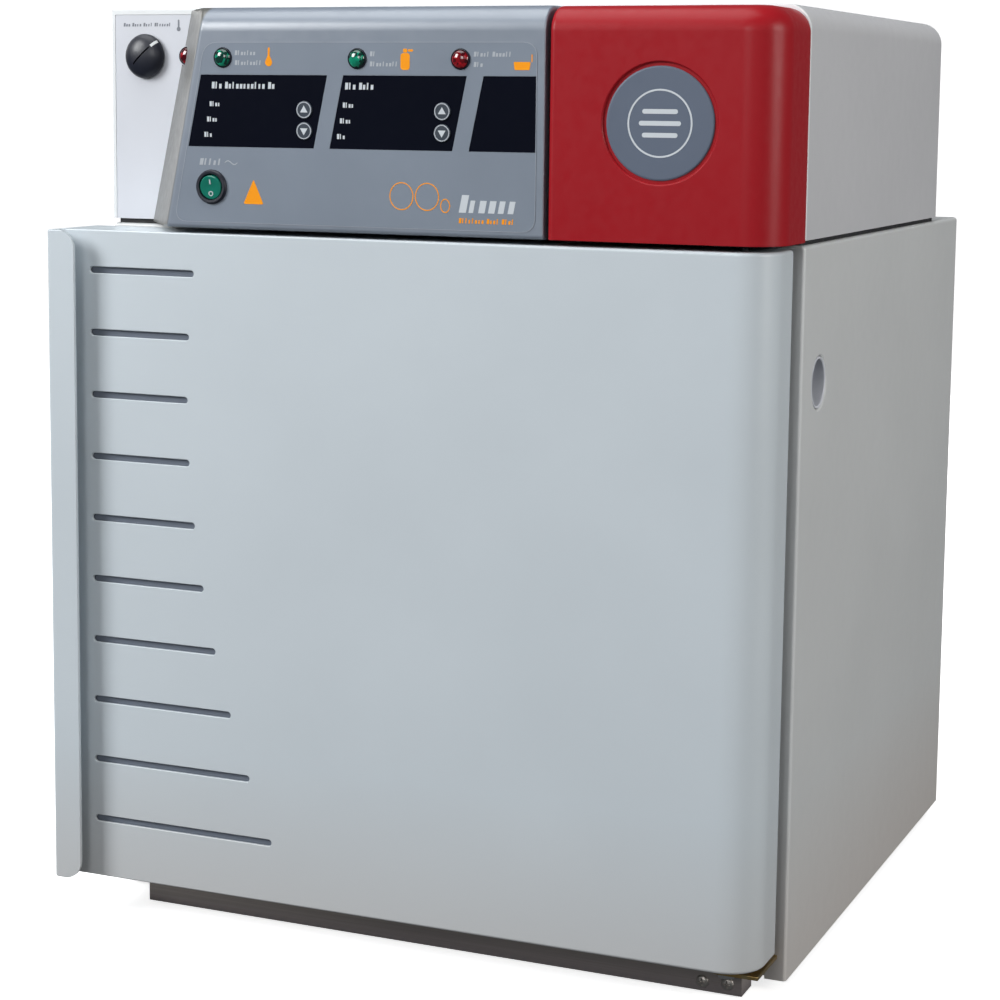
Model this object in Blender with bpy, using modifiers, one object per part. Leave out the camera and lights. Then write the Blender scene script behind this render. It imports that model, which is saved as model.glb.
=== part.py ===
"""A benchtop water-jacketed carbon dioxide incubator, as separate pieces in a collection of its own.

Sizes are in millimetres in the cabinet's frame, which an empty then places: X = 0 is the cabinet's right side
with X falling to the left, Y = 0 is its front plane with Y rising to the back, and Z = 0 is its underside. The
empty puts the origin in the middle of the space under the feet. The outer door hangs on a vertical axis at its
right front corner, and the glass inner door on a rod beside the chamber's mouth.
"""

import math

import bmesh
import bpy
from mathutils import Matrix, Vector

MM = 0.001
GAP = 0.3  # what neighbours leave between their faces

# Cabinet
CABINET_W = 559.0
CABINET_D = 492.5
CABINET_H = 530.0
SHEET = 1.5
CABINET_ROUND = 3.0
FOOT_H = 8.0
FOOT_R = 16.0
FOOT_INSET = 62.0
FRAME_T = 6.0

# Chamber: the space inside the liner, from its mouth to its back wall
CHAMBER_LOW = Vector((-486.0, 2.0, 62.0))
CHAMBER_HIGH = Vector((-86.0, 418.0, 478.0))
LINER_T = 1.5
LINER_FLANGE = 14.0
JACKET_T = 25.0
JACKET_GAP = 1.0
HEATER_T = 3.0
HEATER_INSET = 40.0
HEATER_Y = (60.0, 400.0)
FILL_NECK = (-469.0, 450.5)
FILL_NECK_R = 17.0
FILL_NECK_H = 6.0
FILL_CAP_R = 14.0
FILL_CAP_H = 18.0
PORT_Y = 45.3
PORT_Z = 430.0
PORT_R = 19.3
PORT_TUBE_R = 19.0
PORT_BORE_R = 17.0

# Outer door
DOOR_LEFT = -565.6
DOOR_RIGHT = -4.2
DOOR_FRONT = -67.5
DOOR_REAR = -12.7
DOOR_LOW = 24.0
DOOR_HIGH = 528.0
DOOR_ROUND = 28.0
DOOR_EDGE = 2.5
SKIN_T = 2.0
REAR_CHAMFER = 3.0
LIP_FRONT = -84.0
LIP_W = 24.4
LIP_T = 2.0
LIP_WALL = 3.0
LIP_CORNER = 15.0
SLOT_COUNT = 10
SLOT_TOP = 497.7
SLOT_PITCH = 47.5
SLOT_H = 5.0
SLOT_LEFT = -537.0
SLOT_SHORTEST = 84.3
SLOT_GROWTH = 1.45
SLOT_SHORTEST_AT = 2.02
DISH_LOW = Vector((-529.0, -26.5, 42.0))
DISH_HIGH = Vector((-60.0, DOOR_REAR, 502.0))
GASKET_W = 12.0
GASKET_LEFT = -545.0
GASKET_RIGHT = -34.0
GASKET_MARGIN = 10.0
GASKET_REAR = -0.6
HINGE_X = DOOR_RIGHT - DOOR_ROUND
HINGE_Y = DOOR_FRONT + DOOR_ROUND
PIN_R = 4.0
PIN_HOLE_R = 4.4

# Glass inner door
GLASS_LOW = Vector((-500.0, -9.0, 50.0))
GLASS_HIGH = Vector((-66.0, -3.0, 490.0))
GLASS_HINGE_X = -70.0
GLASS_HINGE_Y = -6.0
ROD_R = 2.5
KNUCKLE_R = 4.5
KNUCKLE_HOLE_R = 2.8
KNUCKLE_LENGTH = 36.0
KNUCKLE_Z = (130.0, 410.0)
LATCH_X = -486.0
LATCH_Z = 265.0
LATCH_HUB_R = 11.0
LATCH_FRONT = -21.0
TONGUE_W = 8.0
TONGUE_T = 3.0
TONGUE_REACH = 28.0
KEEPER_X = (-522.0, -508.0)
KEEPER_HALF_H = 9.0
KEEPER_WALL = 3.0
KEEPER_HOOK_T = 2.0
LUG_Z = (64.0, 476.0)
LUG_HALF = 4.0
LUG_REAR = -1.4

# Sill and hinge brackets
SILL_LEFT = -516.4
SILL_RIGHT = -25.2
SILL_FRONT = -24.0
SILL_LOW = -7.0
SILL_HIGH = 16.0
BRACKET_T = 3.0
BRACKET_X = (-44.0, -6.5)
BRACKET_ROUND = 9.0
PIN_HEAD_R = 6.5
PIN_HEAD_H = 3.0
PIN_REACH = 14.0
UPPER_BRACKET_T = 1.5
UPPER_BRACKET_X = (-58.0, -8.0)
UPPER_BRACKET_REAR = 40.0

# Head
HEAD_LOW = 533.5
HEAD_HIGH = 695.8
HEAD_D = 412.0
HEAD_ROUND = 18.0
FACE_Y = DOOR_FRONT
PLATE_T = 1.5
PLATE_MARGIN = 3.4
PLATE_HIGH = 690.6
PLATE_ROUND = 13.0
SPACER_R = 4.0
SPACER_INSET = 55.0
SPACER_Y = (8.0, 398.0)
MOULDING_T = 2.5
THERMOSTAT = ((-546.0, 4.5, 639.0), (-510.0, 34.0, 679.0))
TRANSFORMER_CORE = ((-250.0, 150.0, 535.5), (-170.0, 215.0, 595.5))
TRANSFORMER_COILS = ((-262.0, 164.0, 547.5), (-158.0, 201.0, 583.5))
VALVE_BODY = ((-535.0, 330.0, 563.5), (-505.0, 368.0, 593.5))
VALVE_COIL_R = 12.0
VALVE_COIL_TOP = 625.5
CONTROL_BOARD = ((-425.0, -50.0, 548.0), (-182.0, -48.4, 668.0))
GAS_INLET = (-520.0, 590.0)
GAS_INLET_R = 4.0
GAS_INLET_REACH = 26.0
GAS_NUT_R = 10.0
GAS_NUT_T = 8.0
POWER_INLET = (-430.0, 600.0)
POWER_CORE_R = 14.6
POWER_CORE_DEPTH = 28.0
POWER_FLANGE_HALF = (22.0, 16.0)
POWER_FLANGE_T = 4.0
POWER_SOCKET_HALF = (9.0, 6.0)
POWER_SOCKET_DEPTH = 18.0

# Grey bezel: its left side leans in towards the front, and its left edge leans to the right as it rises
BEZEL_LOW = 532.0
BEZEL_HIGH = 693.3
BEZEL_RIGHT = -168.9
BEZEL_REAR = -0.4
BEZEL_FACE_LEFT = (-470.5, -438.2)
BEZEL_REAR_LEFT = (-522.4, -487.0)
BEZEL_SOFT = 3.0
WINDOW_TOP = 644.4
WINDOW_LOW = 592.0
WINDOW_SLANT = 10.8
WINDOW_POCKET = 1.4
WINDOW_T = 1.0
WINDOWS = {"window_left": (-440.4, -336.6), "window_middle": (-323.9, -227.4), "window_right": (-214.8, -175.2)}
LAMP_R = 7.2
LAMPS = {"lamp_heating": (-421.9, 656.7), "lamp_gas": (-312.7, 656.1), "lamp_water": (-232.3, 656.0)}
LAMP_DOME = 4.0
KEY_R = 6.4
KEY_PROUD = 1.0
KEY_LENGTH = 8.0
KEY_Z = (619.6, 604.5)
KEY_COLUMNS = {"temperature": -355.0, "gas": -246.0}
SWITCH = (-431.5, 562.6)
SWITCH_R = 12.7
SWITCH_BODY_R = 11.0
SWITCH_BORE_R = 9.8
SWITCH_PROUD = 2.2
SWITCH_DEPTH = 14.0
ROCKER_LENGTH = 7.0
ROCKER_PROUD = 2.5
ROCKER_R = 8.9
ROCKER_TILT = math.radians(10.0)

# White plate
KNOB = (-527.8, 658.9)
KNOB_R = 17.0
KNOB_RIM = 1.8
KNOB_H = 10.0
KNOB_SLOT_W = 1.4
KNOB_SLOT_X = (-11.0, 7.0)
KNOB_SLOT_FLOOR = 6.8
KNOB_SLOT_TURN = math.radians(43.0)
SHAFT_R = 3.0
ALARM = (-490.9, 659.1)

# Red end cap
CAP_LEFT = -166.2
CAP_RIGHT = -0.3
CAP_REAR = -0.4
CAP_LOW = 532.2
CAP_HIGH = 692.9
CAP_FRONT_T = 4.0
CAP_LEFT_ROUND = 3.5
BADGE = (-85.1, 613.4)
BADGE_R = 38.75
BADGE_POCKET_R = 41.0
BADGE_POCKET = 2.0

# Shelves
SHELF_Z = {"shelf_lower": 150.0, "shelf_middle": 250.0, "shelf_upper": 350.0}
SHELF_T = 1.2
SHELF_RIM = 9.0
SHELF_Y = (40.0, 396.0)
SHELF_SIDE_GAP = 5.0
PAN_X = (-420.0, -152.0)
PAN_Y = (110.0, 380.0)
PAN_H = 30.0
RACK_LEDGE_Y = (50.0, 392.0)
RACK_BELOW_TOP = 60.0
RACK_POSTS = (95.0, 345.0)
RACK_POST_W = 10.0
RACK_LEDGE = 12.0
RACK_T = 3.0

ORIGIN = Vector((-(DOOR_LEFT) / 2, -(LIP_FRONT + CABINET_D) / 2, FOOT_H)) * MM

for old in list(bpy.data.objects):
    bpy.data.objects.remove(old, do_unlink=True)

PARTS = bpy.data.collections.new("laboratory_incubator")
TOOLS = bpy.data.collections.new("cutting_and_joining_shapes")
bpy.context.scene.collection.children.link(PARTS)
bpy.context.scene.collection.children.link(TOOLS)
PLACE = bpy.data.objects.new("incubator_place", None)
PARTS.objects.link(PLACE)
PLACE.location = ORIGIN


def material(name, colour, roughness, metallic=0.0):
    made = bpy.data.materials.new(name)
    made.use_nodes = True
    shader = made.node_tree.nodes["Principled BSDF"]
    shader.inputs["Base Color"].default_value = (*colour, 1.0)
    shader.inputs["Roughness"].default_value = roughness
    shader.inputs["Metallic"].default_value = metallic
    return made


PAINT = material("grey_white_paint", (0.56, 0.60, 0.64), 0.4)
WHITE = material("white_paint", (0.78, 0.79, 0.82), 0.4)
SLATE = material("slate_plastic", (0.22, 0.24, 0.27), 0.35)
RED = material("red_plastic", (0.30, 0.012, 0.018), 0.15)
BLACK = material("black_plastic", (0.01, 0.01, 0.016), 0.25)
BADGE_GREY = material("badge_grey", (0.18, 0.22, 0.28), 0.3)
GREEN = material("green_lens", (0.01, 0.16, 0.10), 0.15)
RED_LENS = material("red_lens", (0.25, 0.01, 0.02), 0.15)
STAINLESS = material("stainless_steel", (0.55, 0.54, 0.52), 0.3, 1.0)
ZINC = material("yellow_zinc", (0.65, 0.48, 0.2), 0.35, 1.0)
GALVANISED = material("galvanised_steel", (0.5, 0.52, 0.54), 0.45, 1.0)
FOAM = material("insulation_foam", (0.7, 0.65, 0.45), 0.9)
RUBBER = material("dark_rubber", (0.03, 0.035, 0.045), 0.7)
GLASS = material("tempered_glass", (0.75, 0.85, 0.83), 0.05)
BOARD = material("circuit_board", (0.02, 0.16, 0.07), 0.5)
BRASS = material("brass", (0.6, 0.42, 0.15), 0.3, 1.0)


def add(name, mesh, finish):
    """A new piece with this mesh, or a hidden tool shape when it has no finish."""
    made = bpy.data.objects.new(name, mesh)
    made.parent = PLACE
    if finish:
        PARTS.objects.link(made)
        mesh.materials.append(finish)
        return made
    TOOLS.objects.link(made)
    made.hide_render = True
    made.display_type = "WIRE"
    return made


def mesh_of(name, shape):
    """The bmesh as a mesh, in metres, with its normals facing out."""
    bmesh.ops.scale(shape, vec=(MM, MM, MM), verts=shape.verts)
    bmesh.ops.recalc_face_normals(shape, faces=shape.faces)
    mesh = bpy.data.meshes.new(name)
    shape.to_mesh(mesh)
    shape.free()
    return mesh


def block(name, low, high, finish=None, rounded=0.0, edges=None, segments=2):
    """A box between two corners. The edges that the test picks, or all of them, are rounded."""
    low = Vector(low)
    high = Vector(high)
    shape = bmesh.new()
    bmesh.ops.create_cube(shape, size=1.0)
    bmesh.ops.scale(shape, vec=high - low, verts=shape.verts)
    bmesh.ops.translate(shape, vec=(low + high) / 2, verts=shape.verts)
    if rounded:
        round_edges(shape, rounded, edges, segments)
    return add(name, mesh_of(name, shape), finish)


def round_edges(shape, radius, test, segments):
    chosen = []
    for edge in shape.edges:
        middle = (edge.verts[0].co + edge.verts[1].co) / 2
        along = (edge.verts[1].co - edge.verts[0].co).normalized()
        if test is None or test(middle, along):
            chosen.append(edge)
    bmesh.ops.bevel(
        shape, geom=chosen, offset=radius, segments=segments, profile=0.5, affect="EDGES", clamp_overlap=True
    )


def cylinder(name, centre, along, radius, length, finish=None, sides=24):
    """A cylinder from its centre point in both directions of an axis: "X", "Y" or "Z"."""
    turn = {"X": Matrix.Rotation(math.pi / 2, 4, "Y"), "Y": Matrix.Rotation(math.pi / 2, 4, "X"), "Z": Matrix()}
    shape = bmesh.new()
    bmesh.ops.create_cone(
        shape,
        cap_ends=True,
        segments=sides,
        radius1=radius,
        radius2=radius,
        depth=length,
        matrix=Matrix.Translation(centre) @ turn[along],
    )
    return add(name, mesh_of(name, shape), finish)


def span(name, start, end, radius, finish=None, sides=24):
    """A cylinder between two points that differ along one axis only."""
    start = Vector(start)
    end = Vector(end)
    reach = end - start
    along = "XYZ"[max(range(3), key=lambda i: abs(reach[i]))]
    return cylinder(name, (start + end) / 2, along, radius, reach.length, finish, sides)


def prism(name, outline, level, other, along, finish=None):
    """A flat outline stretched along "X", "Y" or "Z". Its points hold the other two coordinates in order."""
    fixed = "XYZ".index(along)
    shape = bmesh.new()
    corners = []
    for first, second in outline:
        point = [first, second]
        point.insert(fixed, level)
        corners.append(shape.verts.new(point))
    face = shape.faces.new(corners)
    reach = Vector((0.0, 0.0, 0.0))
    reach[fixed] = other - level
    grown = bmesh.ops.extrude_face_region(shape, geom=[face])
    bmesh.ops.translate(shape, vec=reach, verts=[v for v in grown["geom"] if isinstance(v, bmesh.types.BMVert)])
    return add(name, mesh_of(name, shape), finish)


def hull(name, points, finish=None):
    """The smallest solid that holds the points and bulges everywhere."""
    shape = bmesh.new()
    for point in points:
        shape.verts.new(point)
    bmesh.ops.convex_hull(shape, input=shape.verts)
    return add(name, mesh_of(name, shape), finish)


def arc(centre, radius, start, end, steps):
    """Points on a circle, with the angles in degrees."""
    turns = [math.radians(start + (end - start) * i / steps) for i in range(steps + 1)]
    return [(centre[0] + radius * math.cos(t), centre[1] + radius * math.sin(t)) for t in turns]


def turned(name, profile, centre, finish=None, steps=24, closed=False):
    """A turned shape facing the front. The profile holds radius and height towards the front, from the front down."""
    shape = bmesh.new()
    verts = [shape.verts.new((radius * MM, 0.0, height * MM)) for radius, height in profile]
    for first, second in zip(verts, verts[1:]):
        shape.edges.new((first, second))
    if closed:
        shape.edges.new((verts[-1], verts[0]))
    mesh = bpy.data.meshes.new(name)
    shape.to_mesh(mesh)
    shape.free()
    made = add(name, mesh, finish)
    made.location = Vector(centre) * MM
    made.rotation_euler = (math.pi / 2, 0.0, 0.0)
    screw = made.modifiers.new("turn", "SCREW")
    screw.steps = steps
    screw.render_steps = steps
    screw.use_merge_vertices = True
    screw.merge_threshold = 0.00001
    return made


def combine(piece, operation, others):
    for other in others:
        step = piece.modifiers.new(other.name, "BOOLEAN")
        step.operation = operation
        step.solver = "EXACT"
        step.object = other
    return piece


def cut(piece, *others):
    return combine(piece, "DIFFERENCE", others)


def join(piece, *others):
    return combine(piece, "UNION", others)


def pivot(name, place, pieces):
    """An empty on a joint's axis that carries the pieces which turn about it."""
    empty = bpy.data.objects.new(name, None)
    PARTS.objects.link(empty)
    empty.parent = PLACE
    empty.location = Vector(place) * MM
    for piece in pieces:
        piece.parent = empty
        piece.location -= empty.location


def grown(low, high, x, front, back, z):
    """The corners of a box that reaches further out at the sides, the front, the back, and the top and base."""
    return low - Vector((x, front, z)), high + Vector((x, back, z))


def ring(name, low, high, width, finish):
    """A flat frame between two corners, with bars of this width round an open middle."""
    middle_low = (low[0] + width, low[1] - 1, low[2] + width)
    middle_high = (high[0] - width, high[1] + 1, high[2] - width)
    return cut(block(name, low, high, finish), block(name + "_middle", middle_low, middle_high))


def port_hole(name, left, right):
    return cylinder(name, ((left + right) / 2, PORT_Y, PORT_Z), "X", PORT_R, right - left)


def make_cabinet():
    shell = block(
        "cabinet_shell",
        (-CABINET_W, 0, 0),
        (0, CABINET_D, CABINET_H),
        PAINT,
        CABINET_ROUND,
        lambda middle, along: abs(along.y) > 0.9 and middle.z > 1,
    )
    cut(
        shell,
        block("shell_inside", (-CABINET_W + SHEET, -1, -1), (-SHEET, CABINET_D + 1, CABINET_H - SHEET)),
        port_hole("shell_port", -10, 10),
    )
    inner = SHEET + GAP
    block(
        "rear_panel",
        (-CABINET_W + inner, CABINET_D - GAP - SHEET, inner),
        (-inner, CABINET_D - GAP, CABINET_H - inner),
        PAINT,
    )
    frame = block("front_frame", (-CABINET_W + inner, 0, inner), (-inner, FRAME_T, CABINET_H - inner), PAINT)
    mouth = grown(CHAMBER_LOW, CHAMBER_HIGH, LINER_FLANGE + GAP, 20, 20, LINER_FLANGE + GAP)
    cut(frame, block("frame_mouth", *mouth))
    pan_back = CABINET_D - 2 * (GAP + SHEET)
    block("base_pan", (-CABINET_W + inner, FRAME_T + GAP, 0), (-inner, pan_back, SHEET), GALVANISED)
    for side, x in (("left", -CABINET_W + FOOT_INSET), ("right", -FOOT_INSET)):
        for place, y in (("front", FOOT_INSET), ("rear", CABINET_D - FOOT_INSET)):
            span(f"foot_{place}_{side}", (x, y, -FOOT_H), (x, y, -GAP), FOOT_R, RUBBER)


def make_walls():
    liner_low, liner_high = grown(CHAMBER_LOW, CHAMBER_HIGH, LINER_T, 0, LINER_T, LINER_T)
    liner = block("chamber_liner", liner_low, liner_high, STAINLESS)
    flange_low, flange_high = grown(CHAMBER_LOW, CHAMBER_HIGH, LINER_FLANGE, 0, 0, LINER_FLANGE)
    flange_high.y = flange_low.y + LINER_T
    join(liner, block("liner_flange", flange_low, flange_high))
    inside_low, inside_high = CHAMBER_LOW.copy(), CHAMBER_HIGH.copy()
    inside_low.y -= 10
    cut(liner, block("liner_inside", inside_low, inside_high))
    cut(liner, port_hole("liner_port", CHAMBER_HIGH.x - 10, CHAMBER_HIGH.x + 10))

    hole_low, hole_high = grown(liner_low, liner_high, JACKET_GAP, 50, JACKET_GAP, JACKET_GAP)
    jacket_low, jacket_high = grown(hole_low, hole_high, JACKET_T, 0, JACKET_T, JACKET_T)
    jacket_low.y = FRAME_T + 2 * GAP
    jacket = block("water_jacket", jacket_low, jacket_high, GALVANISED)
    cut(jacket, block("jacket_inside", hole_low, hole_high))
    cut(jacket, port_hole("jacket_port", hole_high.x - 5, jacket_high.x + 5))

    heater_z = jacket_low.z - GAP
    block(
        "jacket_heater",
        (jacket_low.x + HEATER_INSET, HEATER_Y[0], heater_z - HEATER_T),
        (jacket_high.x - HEATER_INSET, HEATER_Y[1], heater_z),
        RUBBER,
    )
    room_low, room_high = grown(jacket_low, jacket_high, GAP, 50, GAP, GAP)
    room_low.z = heater_z - HEATER_T - GAP
    edge = SHEET + 2 * GAP
    foam = block(
        "insulation",
        (-CABINET_W + edge, FRAME_T + 2 * GAP, edge),
        (-edge, CABINET_D - 2 * SHEET - GAP, CABINET_H - edge),
        FOAM,
    )
    cut(foam, block("foam_inside", room_low, room_high), port_hole("foam_port", room_high.x - 5, 5))

    tube_end = CHAMBER_HIGH.x + GAP
    tube = span("port_tube", (tube_end, PORT_Y, PORT_Z), (-GAP, PORT_Y, PORT_Z), PORT_TUBE_R, WHITE)
    cut(tube, cylinder("tube_bore", (tube_end / 2, PORT_Y, PORT_Z), "X", PORT_BORE_R, 200))

    low = CABINET_H + GAP
    neck = span("fill_neck", (*FILL_NECK, low), (*FILL_NECK, low + FILL_NECK_H), FILL_NECK_R, BLACK)
    join(neck, span("fill_cap", (*FILL_NECK, low + FILL_NECK_H - 1), (*FILL_NECK, low + FILL_CAP_H), FILL_CAP_R))


def make_chamber_fittings():
    for side, wall, inward in (("left", CHAMBER_LOW.x, 1), ("right", CHAMBER_HIGH.x, -1)):
        near = wall + inward * GAP
        bars = []
        for y in RACK_POSTS:
            corners = sorted((near, near + inward * RACK_T))
            low = (corners[0], y, CHAMBER_LOW.z + GAP)
            bars.append((low, (corners[1], y + RACK_POST_W, CHAMBER_HIGH.z - RACK_BELOW_TOP)))
        for z in SHELF_Z.values():
            corners = sorted((near, near + inward * RACK_LEDGE))
            low = (corners[0], RACK_LEDGE_Y[0], z - RACK_T - GAP - SHELF_RIM)
            bars.append((low, (corners[1], RACK_LEDGE_Y[1], z - GAP - SHELF_RIM)))
        rack = block(f"shelf_rack_{side}", *bars[0], STAINLESS)
        join(rack, *[block(f"rack_bar_{side}_{i}", *bar) for i, bar in enumerate(bars[1:])])

    left = CHAMBER_LOW.x + SHELF_SIDE_GAP
    right = CHAMBER_HIGH.x - SHELF_SIDE_GAP
    front, back = SHELF_Y
    for name, z in SHELF_Z.items():
        shelf = block(name, (left, front, z - SHELF_RIM), (right, back, z), STAINLESS)
        hollow_low = (left + SHELF_T, front + SHELF_T, z - SHELF_RIM - 5)
        cut(shelf, block(name + "_hollow", hollow_low, (right - SHELF_T, back - SHELF_T, z - SHELF_T)))

    pan_low = Vector((PAN_X[0], PAN_Y[0], CHAMBER_LOW.z + GAP))
    pan_high = Vector((PAN_X[1], PAN_Y[1], CHAMBER_LOW.z + PAN_H))
    pan = block("humidity_pan", pan_low, pan_high, STAINLESS)
    wall = Vector((SHELF_T, SHELF_T, SHELF_T))
    cut(pan, block("pan_inside", pan_low + wall, pan_high + Vector((-SHELF_T, -SHELF_T, 5))))


def make_sill():
    rail = block("sill_rail", (SILL_LEFT, SILL_FRONT, SILL_LOW), (SILL_RIGHT, -GAP, SILL_HIGH), STAINLESS)
    hollow_low = (SILL_LEFT + SKIN_T, SILL_FRONT + SKIN_T, SILL_LOW - 1)
    cut(rail, block("rail_hollow", hollow_low, (SILL_RIGHT - SKIN_T, 5, SILL_HIGH - SKIN_T)))
    bracket_top = SILL_HIGH + GAP + BRACKET_T
    lower = block(
        "lower_hinge_bracket",
        (BRACKET_X[0], HINGE_Y - BRACKET_ROUND, SILL_HIGH + GAP),
        (BRACKET_X[1], -GAP, bracket_top),
        ZINC,
        BRACKET_ROUND,
        lambda middle, along: abs(along.z) > 0.9 and middle.y < HINGE_Y and middle.x < HINGE_X,
    )
    pin_hole = cylinder("lower_bracket_hole", (HINGE_X, HINGE_Y, bracket_top), "Z", PIN_R + GAP, 30)
    cut(lower, pin_hole)
    axis = (HINGE_X, HINGE_Y)
    lower_pin = span("lower_hinge_pin", (*axis, SILL_HIGH - 1), (*axis, DOOR_LOW + PIN_REACH), PIN_R, STAINLESS)
    join(lower_pin, span("pin_head", (*axis, SILL_HIGH - PIN_HEAD_H), (*axis, SILL_HIGH), PIN_HEAD_R))
    low = CABINET_H + 0.2
    upper = block(
        "upper_hinge_bracket",
        (UPPER_BRACKET_X[0], HINGE_Y - BRACKET_ROUND, low),
        (UPPER_BRACKET_X[1], UPPER_BRACKET_REAR, low + UPPER_BRACKET_T),
        GALVANISED,
    )
    join(upper, span("upper_pin", (*axis, DOOR_HIGH - PIN_REACH), (*axis, CABINET_H + 1), PIN_R))


def door_outline():
    """The door's plan, from its rear left corner round the lip, the front and the right corner."""
    lip_right = DOOR_LEFT + LIP_W
    wall = DOOR_LEFT + LIP_WALL
    points = [(DOOR_LEFT, DOOR_REAR), (DOOR_LEFT, LIP_FRONT + LIP_T)]
    points += arc((DOOR_LEFT + LIP_T, LIP_FRONT + LIP_T), LIP_T, 180, 270, 2)[1:]
    points += [(lip_right, LIP_FRONT), (lip_right, LIP_FRONT + LIP_T), (wall, LIP_FRONT + LIP_T)]
    points += arc((wall + 4, DOOR_FRONT - 4), 4, 180, 90, 3)
    points += arc((HINGE_X, HINGE_Y), DOOR_ROUND, 270, 360, 7)
    points += [(DOOR_RIGHT, DOOR_REAR - REAR_CHAMFER), (DOOR_RIGHT - REAR_CHAMFER, DOOR_REAR)]
    return points


def make_outer_door():
    skin = prism("door_skin", door_outline(), DOOR_LOW, DOOR_HIGH, "Z", PAINT)
    left = DOOR_LEFT + SKIN_T
    front = DOOR_FRONT + SKIN_T
    room = [(left, DOOR_REAR + 5), (left, front)]
    room += arc((HINGE_X, HINGE_Y), DOOR_ROUND - SKIN_T, 270, 360, 7)
    room += [(DOOR_RIGHT - SKIN_T, DOOR_REAR - 4), (DOOR_RIGHT - 5, DOOR_REAR + 5)]
    cut(skin, prism("door_room", room, DOOR_LOW + SKIN_T, DOOR_HIGH - SKIN_T, "Z"))
    cut(skin, cylinder("pin_holes", (HINGE_X, HINGE_Y, CABINET_H / 2), "Z", PIN_HOLE_R, CABINET_H + 20))
    for i in range(SLOT_COUNT):
        z = SLOT_TOP - i * SLOT_PITCH
        length = SLOT_SHORTEST + SLOT_GROWTH * (i - SLOT_SHORTEST_AT) ** 2
        half = SLOT_H / 2
        outline = arc((SLOT_LEFT + half, z), half, 90, 270, 4) + arc((SLOT_LEFT + length - half, z), half, -90, 90, 4)
        cut(skin, prism(f"slot_{i}", outline, DOOR_FRONT - 1, DOOR_FRONT + SKIN_T + 1, "Y"))
    for name, z, turn in (("lip_low", DOOR_LOW, 1), ("lip_high", DOOR_HIGH, -1)):
        edge = DOOR_LEFT + LIP_W
        centre = (edge - LIP_CORNER, z + turn * LIP_CORNER)
        corner = [(edge + 2, z - turn * 2), (edge + 2, centre[1]), (edge, centre[1])]
        corner += arc(centre, LIP_CORNER, 0, -90 * turn, 5)[1:]
        corner += [(centre[0], z - turn * 2)]
        cut(skin, prism(name + "_corner", corner, LIP_FRONT - 1, LIP_FRONT + LIP_T + 1, "Y"))

    rim_low = (DOOR_LEFT + SKIN_T + 1, DOOR_REAR - 2.2, DOOR_LOW + SKIN_T + GAP)
    rim_high = (DOOR_RIGHT - 6, DOOR_REAR - 0.2, DOOR_HIGH - SKIN_T - GAP)
    liner = block("door_liner", rim_low, rim_high, WHITE)
    tub_wall = Vector((SKIN_T, SKIN_T, SKIN_T))
    tub_high = DISH_HIGH + Vector((SKIN_T, -0.5, SKIN_T))
    join(liner, block("dish_tub", DISH_LOW - tub_wall, tub_high))
    cut(liner, block("dish_inside", DISH_LOW, DISH_HIGH + Vector((0, 10, 0))))
    foam_low = (DOOR_LEFT + SKIN_T + 1, front + GAP, DOOR_LOW + SKIN_T + 3)
    foam = block("door_insulation", foam_low, (-52, DISH_LOW.y - SKIN_T - GAP, DOOR_HIGH - SKIN_T - 3), FOAM)
    gasket = ring(
        "door_gasket",
        (GASKET_LEFT, DOOR_REAR + 0.1, DOOR_LOW + GASKET_MARGIN),
        (GASKET_RIGHT, GASKET_REAR, DOOR_HIGH - GASKET_MARGIN),
        GASKET_W,
        RUBBER,
    )
    pivot("outer_door_axis", (HINGE_X, HINGE_Y, DOOR_LOW), [skin, liner, foam, gasket])


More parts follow.
